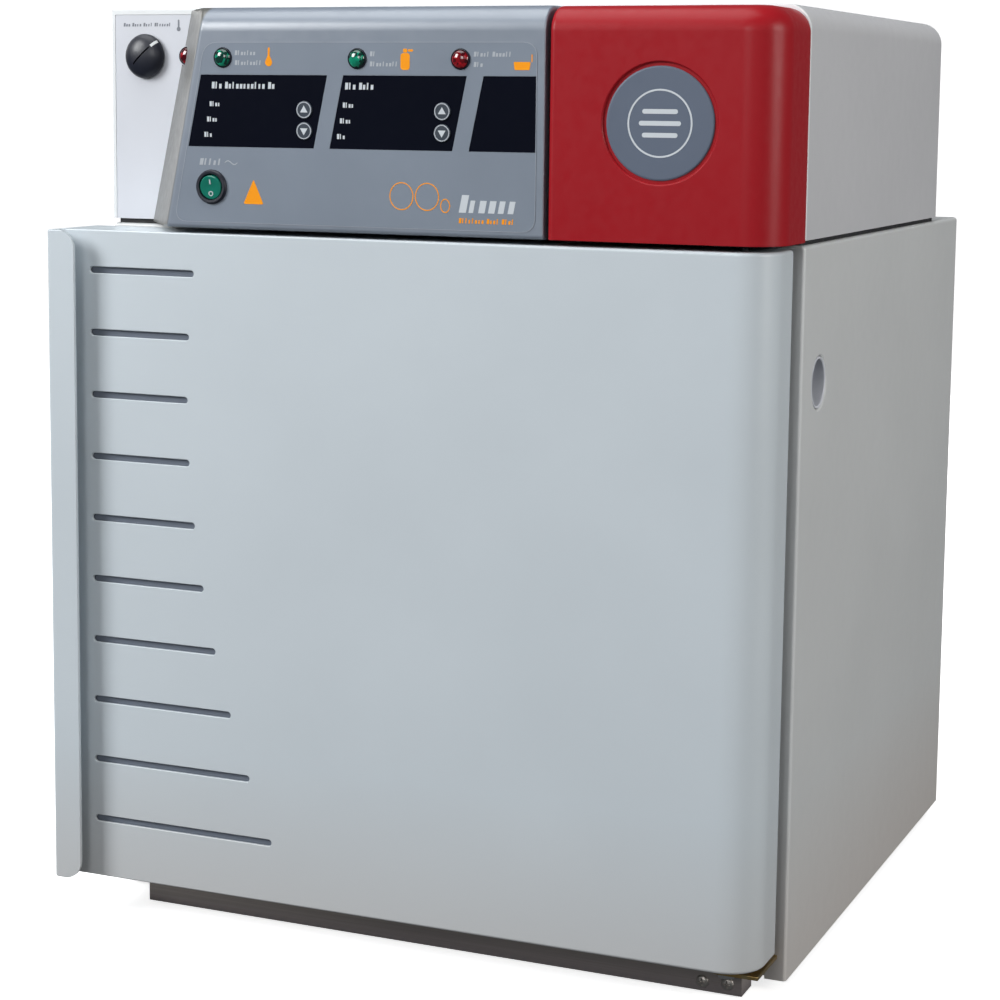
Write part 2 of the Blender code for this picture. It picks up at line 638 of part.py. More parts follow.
def make_inner_door():
    ring(
        "chamber_gasket",
        (CHAMBER_LOW.x - 8, GLASS_HIGH.y + GAP, CHAMBER_LOW.z - 8),
        (CHAMBER_HIGH.x + 8, -GAP, CHAMBER_HIGH.z + 8),
        8,
        RUBBER,
    )
    glass = block("glass_door", GLASS_LOW, GLASS_HIGH, GLASS)
    axis = (GLASS_HINGE_X, GLASS_HINGE_Y)
    rod = span("inner_hinge_rod", (*axis, LUG_Z[0] + 2), (*axis, LUG_Z[1] - 2), ROD_R, STAINLESS, 16)
    for i, z in enumerate(LUG_Z):
        lug_low = Vector((*axis, z)) - Vector((LUG_HALF, LUG_HALF, LUG_HALF))
        join(rod, block(f"rod_lug_{i}", lug_low, (axis[0] + LUG_HALF, LUG_REAR, z + LUG_HALF)))
        room_low = lug_low - Vector((2, 2, 2))
        cut(glass, block(f"lug_room_{i}", room_low, (axis[0] + 20, 10, z + LUG_HALF + 2)))
    for i, z in enumerate(KNUCKLE_Z):
        join(glass, cylinder(f"knuckle_{i}", (*axis, z), "Z", KNUCKLE_R, KNUCKLE_LENGTH, sides=16))
    cut(glass, cylinder("glass_hinge_bore", (*axis, CABINET_H / 2), "Z", KNUCKLE_HOLE_R, CABINET_H, sides=16))

    hub_rear = GLASS_LOW.y - GAP
    latch = span("inner_latch", (LATCH_X, LATCH_FRONT, LATCH_Z), (LATCH_X, hub_rear, LATCH_Z), LATCH_HUB_R, BLACK)
    tongue_front = hub_rear - 0.5 - TONGUE_T
    tongue_low = (LATCH_X - TONGUE_W / 2, tongue_front, LATCH_Z)
    tongue_high = (LATCH_X + TONGUE_W / 2, hub_rear - 0.5, LATCH_Z + TONGUE_REACH)
    join(latch, block("tongue", tongue_low, tongue_high))
    low = Vector((KEEPER_X[0], tongue_front - 1 - KEEPER_HOOK_T, LATCH_Z - KEEPER_HALF_H))
    high = Vector((KEEPER_X[1], -GAP, LATCH_Z + KEEPER_HALF_H))
    keeper = block("latch_keeper", low, high, STAINLESS)
    slot_low = low + Vector((KEEPER_WALL, KEEPER_HOOK_T, -1))
    cut(keeper, block("keeper_slot", slot_low, high + Vector((8, GAP - KEEPER_WALL - 1, 1))))
    pivot("latch_axis", (LATCH_X, hub_rear, LATCH_Z), [latch])
    pivot("inner_door_axis", (*axis, CHAMBER_LOW.z), [glass])


def head_outline(inset):
    """The head's section: square corners but for the rounded one at the top right."""
    left = -CABINET_W + inset
    right = -inset
    top = HEAD_HIGH - inset
    radius = HEAD_ROUND - inset
    return [(left, HEAD_LOW), (right, HEAD_LOW), *arc((right - radius, top - radius), radius, 0, 90, 6), (left, top)]


def plate_outline(grow, low):
    """The head's front plate, which sits inside the narrow flange that the cover turns in at the front."""
    left = -CABINET_W + PLATE_MARGIN - grow
    right = -PLATE_MARGIN + grow
    top = PLATE_HIGH + grow
    centre = (right - PLATE_ROUND, top - PLATE_ROUND)
    return [(left, low), (right, low), *arc(centre, PLATE_ROUND, 0, 90, 6), (left, top)]


def make_head():
    cover = prism("head_cover", head_outline(0), 0, HEAD_D, "Y", WHITE)
    inside = prism("head_inside", head_outline(SHEET), SHEET, HEAD_D - SHEET, "Y")
    floor = block("head_floor", (-CABINET_W + SHEET, SHEET, 500), (-SHEET, HEAD_D - SHEET, 600))
    cut(cover, inside, floor, prism("head_mouth", plate_outline(GAP, 500), -1, SHEET + 2, "Y"))
    for i, ((x, z), radius) in enumerate(((POWER_INLET, POWER_CORE_R + 0.4), (GAS_INLET, GAS_INLET_R + 2.6))):
        cut(cover, cylinder(f"rear_hole_{i}", (x, HEAD_D, z), "Y", radius, 20))
    inner = SHEET + GAP
    tray = block("head_tray", (-CABINET_W + inner, 2.4, HEAD_LOW), (-inner, HEAD_D - inner, HEAD_LOW + SHEET), WHITE)
    for i, x in enumerate((-CABINET_W + SPACER_INSET, -SPACER_INSET - 30)):
        for j, y in enumerate(SPACER_Y):
            low = (x, y, CABINET_H + GAP)
            join(tray, span(f"spacer_{i}_{j}", low, (x, y, HEAD_LOW + 1), SPACER_R, sides=12))
    plate = prism("control_plate", plate_outline(0, HEAD_LOW), 0.3, 0.3 + PLATE_T, "Y", WHITE)
    knob_hole = cylinder("knob_hole", (KNOB[0], 0, KNOB[1]), "Y", SHAFT_R + 0.4, 10)
    cut(plate, knob_hole, cylinder("alarm_hole", (ALARM[0], 0, ALARM[1]), "Y", LAMP_R + GAP, 10))

    block("thermostat_body", *THERMOSTAT, BLACK)
    transformer = block("transformer", *TRANSFORMER_CORE, GALVANISED)
    join(transformer, block("windings", *TRANSFORMER_COILS))
    valve = block("gas_valve", *VALVE_BODY, BRASS)
    x, y, z = (Vector(VALVE_BODY[0]) + Vector(VALVE_BODY[1])) / 2
    join(valve, span("valve_coil", (x, y, z), (x, y, VALVE_COIL_TOP), VALVE_COIL_R))
    make_rear_fittings()


def make_rear_fittings():
    x, z = GAS_INLET
    inlet = span("gas_inlet", (x, HEAD_D - 20, z), (x, HEAD_D + GAS_INLET_REACH, z), GAS_INLET_R, BRASS, 12)
    join(inlet, cylinder("inlet_nut", (x, HEAD_D + GAP + GAS_NUT_T / 2, z), "Y", GAS_NUT_R, GAS_NUT_T, sides=6))
    x, z = POWER_INLET
    half_w, half_h = POWER_FLANGE_HALF
    power = span("power_inlet", (x, HEAD_D - POWER_CORE_DEPTH, z), (x, HEAD_D + 1, z), POWER_CORE_R, BLACK)
    flange_low = (x - half_w, HEAD_D + GAP, z - half_h)
    join(power, block("power_flange", flange_low, (x + half_w, HEAD_D + POWER_FLANGE_T, z + half_h)))
    half_w, half_h = POWER_SOCKET_HALF
    socket_low = (x - half_w, HEAD_D - POWER_SOCKET_DEPTH, z - half_h)
    cut(power, block("power_socket", socket_low, (x + half_w, HEAD_D + 10, z + half_h)))


def bezel_left(y, z):
    """Where the bezel's left side lies at this depth and height."""
    up = (z - BEZEL_LOW) / (BEZEL_HIGH - BEZEL_LOW)
    back = (y - FACE_Y) / (BEZEL_REAR - FACE_Y)
    face = BEZEL_FACE_LEFT[0] + (BEZEL_FACE_LEFT[1] - BEZEL_FACE_LEFT[0]) * up
    rear = BEZEL_REAR_LEFT[0] + (BEZEL_REAR_LEFT[1] - BEZEL_REAR_LEFT[0]) * up
    return face + (rear - face) * back


def bezel_points(inset, rear):
    """The corners of the bezel's solid, or of the room inside it."""
    front = FACE_Y + inset
    low = BEZEL_LOW + inset
    high = BEZEL_HIGH - inset
    radius = HEAD_ROUND - inset
    profile = [(rear, low), (front + BEZEL_SOFT, low), (front, low + BEZEL_SOFT)]
    profile += arc((front + radius, high - radius), radius, 180, 90, 6)
    profile += [(rear, high)]
    points = [(BEZEL_RIGHT - inset, y, z) for y, z in profile]
    return points + [(bezel_left(y, z) + inset, y, z) for y, z in profile]


def window_outline(left, right, inset):
    """A leaning window. The one that ends at the bezel's right border has an upright right edge."""
    lean = 0.0 if right > BEZEL_RIGHT - 10 else WINDOW_SLANT
    low = WINDOW_LOW + inset
    top = WINDOW_TOP - inset
    return [
        (left - WINDOW_SLANT + inset, low),
        (right - lean - inset, low),
        (right - inset, top),
        (left + inset, top),
    ]


def make_lamp(name, x, y, z, finish):
    dome = [(LAMP_R * math.sin(t * math.pi / 8), LAMP_DOME * math.cos(t * math.pi / 8)) for t in range(5)]
    return turned(name, [(0, LAMP_DOME), *dome[1:], (LAMP_R, -5), (0, -5)], (x, y, z), finish)


def make_bezel():
    bezel = hull("grey_bezel", bezel_points(0, BEZEL_REAR), SLATE)
    cut(bezel, hull("bezel_room", bezel_points(MOULDING_T, BEZEL_REAR + 5)))
    cut(bezel, cylinder("alarm_relief", (ALARM[0], 0, ALARM[1]), "Y", LAMP_R + 0.8, 16))
    panes = {}
    for name, (left, right) in WINDOWS.items():
        pocket = window_outline(left, right, 0)
        cut(bezel, prism(name + "_pocket", pocket, FACE_Y - 5, FACE_Y + WINDOW_POCKET, "Y"))
        pane = window_outline(left, right, GAP)
        panes[name] = prism(name, pane, FACE_Y + 0.1, FACE_Y + 0.1 + WINDOW_T, "Y", BLACK)
    finishes = {"lamp_heating": GREEN, "lamp_gas": GREEN, "lamp_water": RED_LENS}
    for name, (x, z) in LAMPS.items():
        make_lamp(name, x, FACE_Y, z, finishes[name])
        cut(bezel, cylinder(name + "_hole", (x, FACE_Y, z), "Y", LAMP_R + GAP, 20))
    make_lamp("alarm_lamp", ALARM[0], 0, ALARM[1], RED_LENS)
    for (use, x), pane in zip(KEY_COLUMNS.items(), panes.values()):
        for way, z in zip(("up", "down"), KEY_Z):
            front = FACE_Y - KEY_PROUD
            key = span(f"key_{use}_{way}", (x, front, z), (x, front + KEY_LENGTH, z), KEY_R, BLACK, 20)
            hole = cylinder(f"key_hole_{use}_{way}", (x, FACE_Y, z), "Y", KEY_R + GAP, 20, sides=20)
            cut(bezel, hole)
            cut(pane, hole)
            pivot(f"key_{use}_{way}_place", (x, front, z), [key])

    x, z = SWITCH
    cut(bezel, cylinder("switch_hole", (x, FACE_Y, z), "Y", SWITCH_BODY_R + GAP, 20))
    profile = [(SWITCH_BORE_R, SWITCH_PROUD), (SWITCH_R - 1, SWITCH_PROUD), (SWITCH_R, SWITCH_PROUD - 1)]
    profile += [(SWITCH_R, GAP), (SWITCH_BODY_R, GAP), (SWITCH_BODY_R, -SWITCH_DEPTH), (SWITCH_BORE_R, -SWITCH_DEPTH)]
    turned("switch_bezel", profile, (x, FACE_Y, z), BLACK, closed=True)
    centre = (x, FACE_Y - ROCKER_PROUD + ROCKER_LENGTH / 2, z)
    rocker = cylinder("power_rocker", (0, 0, 0), "Y", ROCKER_R, ROCKER_LENGTH, GREEN)
    rocker.rotation_euler = (ROCKER_TILT, 0.0, 0.0)
    rocker.location = Vector(centre) * MM
    pivot("rocker_axis", centre, [rocker])
    block("control_board", *CONTROL_BOARD, BOARD)


def make_knob():
    x, z = KNOB
    dome = []
    for i in range(7):
        t = i * math.pi / 14
        dome.append((KNOB_R * math.sin(t), KNOB_RIM + (KNOB_H - KNOB_RIM) * math.cos(t)))
    knob = turned("limit_knob", [*dome, (KNOB_R, KNOB_RIM), (KNOB_R, 1), (0, 1)], (x, 0, z), BLACK)
    half = KNOB_SLOT_W / 2
    slot = block("knob_slot", (KNOB_SLOT_X[0], -KNOB_H - 2, -half), (KNOB_SLOT_X[1], -KNOB_SLOT_FLOOR, half))
    slot.location = Vector((x, 0, z)) * MM
    slot.rotation_euler = (0.0, -KNOB_SLOT_TURN, 0.0)
    cut(join(knob, span("knob_shaft", (x, -4, z), (x, 4, z), SHAFT_R, sides=16)), slot)
    pivot("knob_axis", (x, 0, z), [knob])


def make_red_cap():
    shape_top = CAP_HIGH

    def upright_right(middle, along):
        return abs(along.z) > 0.9 and middle.x > CAP_RIGHT - 1 and middle.y < FACE_Y + 1

    def upright_left(middle, along):
        return abs(along.z) > 0.9 and middle.x < CAP_LEFT + 1 and middle.y < FACE_Y + 1

    def top_round(middle, along):
        at_front_or_right = middle.y < CAP_REAR - 1 and middle.x > CAP_LEFT + 1
        return middle.z > shape_top - 0.01 and abs(along.z) < 0.1 and at_front_or_right

    shape = bmesh.new()
    bmesh.ops.create_cube(shape, size=1.0)
    low = Vector((CAP_LEFT, FACE_Y, CAP_LOW))
    high = Vector((CAP_RIGHT, CAP_REAR, CAP_HIGH))
    bmesh.ops.scale(shape, vec=high - low, verts=shape.verts)
    bmesh.ops.translate(shape, vec=(low + high) / 2, verts=shape.verts)
    round_edges(shape, DOOR_ROUND, upright_right, 6)
    round_edges(shape, CAP_LEFT_ROUND, upright_left, 1)
    round_edges(shape, HEAD_ROUND, top_round, 4)
    cap = add("red_end_cap", mesh_of("red_end_cap", shape), RED)

    inner = Vector((MOULDING_T, 0, MOULDING_T))
    room_low = low + inner + Vector((0, CAP_FRONT_T, 0))
    room = block(
        "cap_room",
        room_low,
        high - inner + Vector((0, 5, 0)),
        None,
        HEAD_ROUND,
        lambda middle, along: middle.z > CAP_HIGH - 5 and (middle.y < FACE_Y + 10 or middle.x > CAP_RIGHT - 5)
        or (abs(along.z) > 0.9 and middle.x > CAP_RIGHT - 5 and middle.y < FACE_Y + 10),
        3,
    )
    x, z = BADGE
    pocket = cylinder("badge_pocket", (x, FACE_Y, z), "Y", BADGE_POCKET_R, 2 * BADGE_POCKET, sides=40)
    cut(cap, room, pocket)
    disc = [(0, BADGE_POCKET - 0.5), (BADGE_R - 0.6, BADGE_POCKET - 0.5), (BADGE_R, BADGE_POCKET - 1.1)]
    turned("badge_disc", [*disc, (BADGE_R, GAP), (0, GAP)], (x, FACE_Y + BADGE_POCKET, z), BADGE_GREY, 40)


def shade():
    for piece in PARTS.objects:
        if piece.type == "MESH":
            piece.data.shade_smooth()
            piece.data.set_sharp_from_angle(angle=math.radians(30))


make_cabinet()
make_walls()
make_chamber_fittings()
make_sill()
make_outer_door()
make_inner_door()
make_head()
make_bezel()
make_knob()
make_red_cap()
shade()
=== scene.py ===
"""Looks of the benchtop incubator: fine pieces, materials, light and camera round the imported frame.

Shapes are given in millimetres in the cabinet's own frame, like the design's. X = 0 is the cabinet's right
side, Y = 0 its front plane and Z = 0 its underside. X falls to the left and Y rises to the back.
"""

import math

import bmesh
import bpy
from mathutils import Matrix, Vector


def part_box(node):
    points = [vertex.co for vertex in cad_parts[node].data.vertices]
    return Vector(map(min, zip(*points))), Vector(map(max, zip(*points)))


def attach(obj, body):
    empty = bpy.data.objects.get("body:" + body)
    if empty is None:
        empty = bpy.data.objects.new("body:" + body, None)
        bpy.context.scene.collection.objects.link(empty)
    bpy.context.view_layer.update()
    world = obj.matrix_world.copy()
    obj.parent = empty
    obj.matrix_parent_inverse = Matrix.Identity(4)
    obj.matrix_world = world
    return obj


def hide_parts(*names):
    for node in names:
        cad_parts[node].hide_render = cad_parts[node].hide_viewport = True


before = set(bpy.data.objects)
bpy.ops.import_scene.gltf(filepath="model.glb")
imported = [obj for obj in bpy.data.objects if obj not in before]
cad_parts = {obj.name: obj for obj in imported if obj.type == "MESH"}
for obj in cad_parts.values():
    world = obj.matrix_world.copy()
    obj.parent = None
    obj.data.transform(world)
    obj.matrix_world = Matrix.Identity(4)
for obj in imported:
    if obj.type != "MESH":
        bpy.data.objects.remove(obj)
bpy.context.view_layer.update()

MM = 0.001
SHELL_LOW, SHELL_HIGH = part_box("cabinet_shell")
PLACE = Vector((SHELL_HIGH.x, SHELL_LOW.y, SHELL_LOW.z))


def near(node):
    """A CAD node's lowest and highest corners in millimetres, in the cabinet's frame."""
    low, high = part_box(node)
    return (low - PLACE) / MM, (high - PLACE) / MM


def middle(node):
    low, high = near(node)
    return (low + high) / 2


CABINET_LOW, CABINET_HIGH = near("cabinet_shell")
DOOR_LOW, DOOR_HIGH = near("door_skin")
HEAD_LOW, HEAD_HIGH = near("head_cover")
CAP_LOW, CAP_HIGH = near("red_end_cap")
FACE_Y = CAP_LOW.y
SHEET = 1.5  # the case's metal
ROUND = 18.0  # radius of the control box's long top edges
CORNER = 28.0  # radius of the door's and the cap's upright right corner
HINGE_X = DOOR_HIGH.x - CORNER
HINGE_Y = FACE_Y + CORNER

BEZEL_BASE = 532.0
BEZEL_TOP = 693.3
BEZEL_RIGHT = -168.9
BEZEL_REAR = -0.4  # where its left wall meets the plate behind it
FACE_LEFT = (-470.5, -438.2)  # its left edge in front, at its base and top
REAR_LEFT = (-522.4, -487.0)  # the same at the back
WINDOW_TOP = 644.4
WINDOW_LOW = 592.0
WINDOW_SLANT = 10.8
WINDOWS = {  # each one's left and right end along its top edge
    "window_left": (-440.4, -336.6),
    "window_middle": (-323.9, -227.4),
    "window_right": (-214.8, -175.2),
}
PROUD = 0.25  # how far the overlay film stands out of the bezel's face
FILM_FACE = FACE_Y - PROUD
PLATE_FACE = 0.3  # where print lies on the white front plate


# ---------------------------------------------------------------- materials


class Recipe:
    """A material's node tree, with short ways to add nodes to it."""

    def __init__(self, name):
        self.material = bpy.data.materials.new(name)
        self.material.use_nodes = True
        self.tree = self.material.node_tree
        self.shader = self.tree.nodes["Principled BSDF"]
        self.place = self.tree.nodes.new("ShaderNodeTexCoord").outputs["Object"]

    def fill(self, sockets, values):
        """Links each value that is another node's output, and sets the others on the sockets themselves."""
        for key, value in values.items():
            if isinstance(value, bpy.types.NodeSocket):
                self.tree.links.new(value, sockets[key])
            else:
                sockets[key].default_value = value

    def node(self, kind, inputs, **settings):
        made = self.tree.nodes.new(kind)
        for key, value in settings.items():
            setattr(made, key, value)
        self.fill(made.inputs, inputs)
        return made

    def along(self, axis):
        return self.node("ShaderNodeSeparateXYZ", {"Vector": self.place}).outputs[axis]

    def stretched(self, scale):
        return self.node("ShaderNodeMapping", {"Vector": self.place, "Scale": scale}).outputs["Vector"]

    def noise(self, scale, detail=3.0, where=None, roughness=0.5):
        inputs = {"Vector": where or self.place, "Scale": scale, "Detail": detail, "Roughness": roughness}
        return self.node("ShaderNodeTexNoise", inputs).outputs["Fac"]

    def cells(self, scale, output):
        return self.node("ShaderNodeTexVoronoi", {"Vector": self.place, "Scale": scale}).outputs[output]

    def between(self, value, low, high, start=0.3, end=0.7):
        """The value, which runs from start to end, spread over the range from low to high."""
        inputs = {"Value": value, "From Min": start, "From Max": end, "To Min": low, "To Max": high}
        return self.node("ShaderNodeMapRange", inputs).outputs["Result"]

    def mix(self, factor, first, second):
        return self.node("ShaderNodeMix", {0: factor, 6: first, 7: second}, data_type="RGBA").outputs[2]

    def bump(self, height, distance, under=None):
        inputs = {"Height": height, "Distance": distance}
        if under:
            inputs["Normal"] = under
        return self.node("ShaderNodeBump", inputs).outputs["Normal"]

    def use(self, **inputs):
        """The material, with these inputs on its shader."""
        self.fill(self.shader.inputs, {key.replace("_", " "): value for key, value in inputs.items()})
        return self.material


def shade_of(colour, factor):
    return (*[min(1.0, channel * factor) for channel in colour], 1.0)


def painted(name, colour, roughness=0.34, peel=0.00002, floor_bounce_and_shade=None, lip=None):
    """Powder coat: a faint orange peel and a little cloudiness.

    It can carry painted shade and painted warm light reflected from the floor near its base, or a painted
    highlight along its front edge.
    """
    recipe = Recipe(name)
    cloud = recipe.between(recipe.noise(7.0, 4.0), 0.0, 1.0)
    base = recipe.mix(cloud, shade_of(colour, 0.975), shade_of(colour, 1.02))
    if floor_bounce_and_shade:
        # painted shade and painted warm floor light, blending in towards the base
        low = recipe.between(recipe.along("Z"), 1.0, 0.0, 0.02, 0.14)
        base = recipe.mix(low, base, (*floor_bounce_and_shade, 1.0))
    if lip:
        # painted highlight along the front edge, where the rim catches the light
        front = PLACE.y + 1.3 * MM
        edge = recipe.between(recipe.along("Y"), 1.0, 0.0, front, front + 0.0005)
        base = recipe.mix(edge, base, (*lip, 1.0))
    rough = recipe.between(recipe.noise(90.0, 3.0), roughness - 0.04, roughness + 0.05)
    fine = recipe.bump(recipe.noise(1500.0, 2.0), peel * 0.4)
    skin = recipe.bump(recipe.noise(420.0, 2.0), peel, fine)
    return recipe.use(Base_Color=base, Roughness=rough, Normal=skin, Coat_Weight=0.12, Coat_Roughness=0.22)


def moulded(name, colour, roughness, grain=0.000012, coat=0.0, scale=900.0, mottle=0.04, gloss=0.5,
            left_wall_shade=None):
    """Moulded plastic: fine grain and a slightly uneven tone.

    It can carry a painted shade, darker and warmer than the face, on the bezel's left wall.
    """
    recipe = Recipe(name)
    tone = recipe.between(recipe.noise(14.0, 4.0), 0.0, 1.0)
    base = recipe.mix(tone, shade_of(colour, 1 - mottle), shade_of(colour, 1 + mottle))
    # painted shade on the bezel's left wall, for the light that falls there
    if left_wall_shade:
        lean = (FACE_LEFT[1] - FACE_LEFT[0]) / (BEZEL_TOP - BEZEL_BASE)
        corner = PLACE + Vector((FACE_LEFT[0], 0.0, BEZEL_BASE)) * MM
        edge = corner.x - lean * corner.z
        slanted = {0: recipe.place, 1: (1.0, 0.0, -lean)}
        across = recipe.node("ShaderNodeVectorMath", slanted, operation="DOT_PRODUCT").outputs["Value"]
        wall = recipe.between(across, 1.0, 0.0, edge - 0.0012, edge + 0.0012)
        base = recipe.mix(wall, base, (*left_wall_shade, 1.0))
    rough = recipe.between(recipe.noise(160.0, 4.0), roughness * 0.88, roughness * 1.15)
    skin = recipe.bump(recipe.noise(scale, 3.0), grain)
    return recipe.use(Base_Color=base, Roughness=rough, Normal=skin, Coat_Weight=coat, Coat_Roughness=0.1,
                      Specular_IOR_Level=gloss)


def brushed(name, colour, roughness=0.3, lines=(6.0, 900.0, 900.0), depth=0.000006):
    """Metal with the fine lines of a brush along one axis."""
    recipe = Recipe(name)
    grain = recipe.noise(1.0, 4.0, recipe.stretched(lines), 0.7)
    base = recipe.mix(grain, shade_of(colour, 0.82), shade_of(colour, 1.12))
    smear = recipe.noise(9.0, 5.0)
    worn = recipe.node("ShaderNodeMath", {0: grain, 1: smear}, operation="MULTIPLY").outputs[0]
    rough = recipe.between(worn, roughness * 0.75, roughness * 1.35, 0.12, 0.4)
    return recipe.use(Base_Color=base, Roughness=rough, Metallic=1.0, Normal=recipe.bump(grain, depth))


def rail_steel(name, bottom, top, low, high):
    """Brushed steel in painted light: painted shade towards its lower edge and its right end, painted warm
    light towards its top.
    """
    recipe = Recipe(name)
    # painted shade towards the right end
    right_end_shade = recipe.between(recipe.along("X"), 0.0, 0.62, -0.24, 0.0)
    grain = recipe.noise(1.0, 4.0, recipe.stretched((6.0, 900.0, 900.0)), 0.7)
    # painted warm light at the top, fading to painted shade at the base
    tone = recipe.mix(recipe.between(recipe.along("Z"), 0.0, 1.0, low, high), (*bottom, 1.0), (*top, 1.0))
    tone = recipe.mix(right_end_shade, tone, (*bottom, 1.0))
    base = recipe.mix(recipe.between(grain, 0.0, 0.25), tone, (0.05, 0.045, 0.042, 1.0))
    rough = recipe.between(grain, 0.42, 0.58)
    return recipe.use(Base_Color=base, Roughness=rough, Metallic=0.1, Normal=recipe.bump(grain, 0.000006))


def plated(name, first, second, roughness=0.28):
    """Yellow zinc: gold with greenish and rosy clouds."""
    recipe = Recipe(name)
    cloud = recipe.between(recipe.noise(120.0, 5.0), 0.0, 1.0, 0.35, 0.65)
    base = recipe.mix(cloud, (*first, 1.0), (*second, 1.0))
    rough = recipe.between(recipe.noise(300.0, 3.0), roughness * 0.8, roughness * 1.3)
    skin = recipe.bump(recipe.noise(700.0, 3.0), 0.00001)
    return recipe.use(Base_Color=base, Roughness=rough, Metallic=1.0, Normal=skin)


def lens(name, colour, deep):
    """A coloured lens: a deep body under a clear skin, with patches of painted highlight for the glints of
    facets inside.
    """
    recipe = Recipe(name)
    shine = recipe.node("ShaderNodeSeparateColor", {"Color": recipe.cells(330.0, "Color")}).outputs["Red"]
    # patches of painted highlight in the base colour
    base = recipe.mix(recipe.between(shine, 0.0, 1.0, 0.35, 0.95), (*deep, 1.0), (*colour, 1.0))
    rough = recipe.between(recipe.noise(400.0, 2.0), 0.06, 0.14)
    skin = recipe.bump(recipe.noise(500.0, 2.0), 0.00006)
    return recipe.use(Base_Color=base, Roughness=rough, Normal=skin, Coat_Weight=0.6, Coat_Roughness=0.03,
                      IOR=1.49)


def glazing(name):
    recipe = Recipe(name)
    smear = recipe.noise(18.0, 5.0)
    rough = recipe.between(smear, 0.005, 0.05)
    base = recipe.mix(smear, (0.90, 0.96, 0.94, 1.0), (0.96, 0.99, 0.98, 1.0))
    return recipe.use(Base_Color=base, Roughness=rough, Transmission_Weight=1.0, IOR=1.46)


def rough_foam(name, colour):
    recipe = Recipe(name)
    cells = recipe.cells(500.0, "Distance")
    base = recipe.mix(cells, shade_of(colour, 0.8), shade_of(colour, 1.05))
    rough = recipe.between(cells, 0.8, 0.95)
    return recipe.use(Base_Color=base, Roughness=rough, Normal=recipe.bump(cells, 0.0003))


# painted shade near the door's base, and painted warm floor light near the case's base
PAINT = painted("door_paint", (0.59, 0.648, 0.692), floor_bounce_and_shade=(0.56, 0.568, 0.575))
CASE = painted("case_paint", (0.635, 0.652, 0.66), floor_bounce_and_shade=(0.61, 0.58, 0.56))
# painted shade: the grooves' floor darkened for the shade inside them
SLOT_SHADE = painted("slot_floor_shade", (0.16, 0.185, 0.23))
WHITE = painted("white_paint", (0.67, 0.69, 0.745))
# the head's paint, with a painted highlight along its front rim
HEAD_WHITE = painted("head_paint", (0.595, 0.60, 0.625), lip=(0.80, 0.825, 0.84))
LINER_WHITE = painted("liner_white", (0.74, 0.76, 0.77), 0.4)
# its left wall is in a painted shade, darker and warmer than the face
SLATE = moulded("slate_plastic", (0.205, 0.240, 0.295), 0.34, coat=0.06, gloss=1.0,
                left_wall_shade=(0.105, 0.105, 0.096))
OVERLAY = moulded("overlay_film", (0.205, 0.241, 0.295), 0.42, 0.000008, scale=1500.0, gloss=0.35)
# painted highlight where the overlay film's edge catches the light
FILM_EDGE_HIGHLIGHT = moulded("film_edge_highlight", (0.30, 0.33, 0.385), 0.4)
RED = moulded("red_plastic", (0.335, 0.0085, 0.0145), 0.36, 0.000006, scale=300.0, mottle=0.02, gloss=0.22)
BLACK = moulded("black_plastic", (0.009, 0.011, 0.021), 0.4, coat=0.08)
MATTE_BLACK = moulded("matte_black", (0.012, 0.012, 0.014), 0.6, 0.00002)
WINDOW = moulded("window_black", (0.0035, 0.0045, 0.010), 0.16, 0.000002, scale=200.0, gloss=0.18)
BADGE = moulded("badge_grey", (0.112, 0.138, 0.19), 0.44, scale=1200.0, gloss=0.3)
MARK = moulded("pale_print", (0.58, 0.62, 0.66), 0.5)
DIM_MARK = moulded("dim_print", (0.40, 0.43, 0.47), 0.5)
DARK_MARK = moulded("dark_print", (0.20, 0.215, 0.25), 0.5)
KNOB_WHITE = moulded("knob_white", (0.72, 0.74, 0.74), 0.4)
ORANGE = moulded("orange_print", (0.95, 0.33, 0.004), 0.5, gloss=0.2)
KEY_BLUE = moulded("key_rubber", (0.028, 0.04, 0.058), 0.4)
GREEN = lens("green_lens", (0.004, 0.30, 0.17), (0.001, 0.035, 0.025))
GREEN_ROCKER = moulded("green_rocker", (0.006, 0.18, 0.125), 0.22, coat=0.4)
RED_LENS = lens("red_lens", (0.42, 0.004, 0.012), (0.06, 0.0, 0.003))
RAIL_LOW, RAIL_HIGH = near("sill_rail")
# painted light and shade on the sill rail: bright warm top, dark base and right end
RAIL = rail_steel("rail_steel_painted_light", (0.16, 0.14, 0.145), (1.0, 0.90, 0.82), PLACE.z + RAIL_LOW.z * MM,
                  PLACE.z + RAIL_HIGH.z * MM)
STAINLESS = brushed("stainless", (0.46, 0.45, 0.44))
STAINLESS_UP = brushed("stainless_upright", (0.50, 0.50, 0.49), 0.33, (900.0, 900.0, 6.0))
BRIGHT = brushed("bright_steel", (0.62, 0.62, 0.62), 0.2, (300.0, 300.0, 300.0))
SCREW = brushed("screw_steel", (0.50, 0.47, 0.44), 0.42, (300.0, 300.0, 300.0))
ZINC = plated("yellow_zinc", (0.50, 0.33, 0.12), (0.44, 0.36, 0.20), 0.34)
DARK_ZINC = plated("dark_zinc", (0.030, 0.032, 0.036), (0.055, 0.055, 0.06), 0.45)
BRASS = plated("turned_brass", (0.50, 0.33, 0.11), (0.60, 0.43, 0.17), 0.2)
GALVANISED = brushed("galvanised", (0.42, 0.44, 0.46), 0.45, (60.0, 60.0, 60.0))
RUBBER = moulded("dark_rubber", (0.022, 0.026, 0.034), 0.62, 0.00003, scale=600.0)
GLASS = glazing("tempered_glass")
FOAM = rough_foam("insulation_foam", (0.55, 0.48, 0.28))
BOARD = moulded("circuit_board", (0.01, 0.10, 0.04), 0.4)


# ---------------------------------------------------------------- shapes

SHARP = 35  # degrees between two faces from which their edge stays sharp


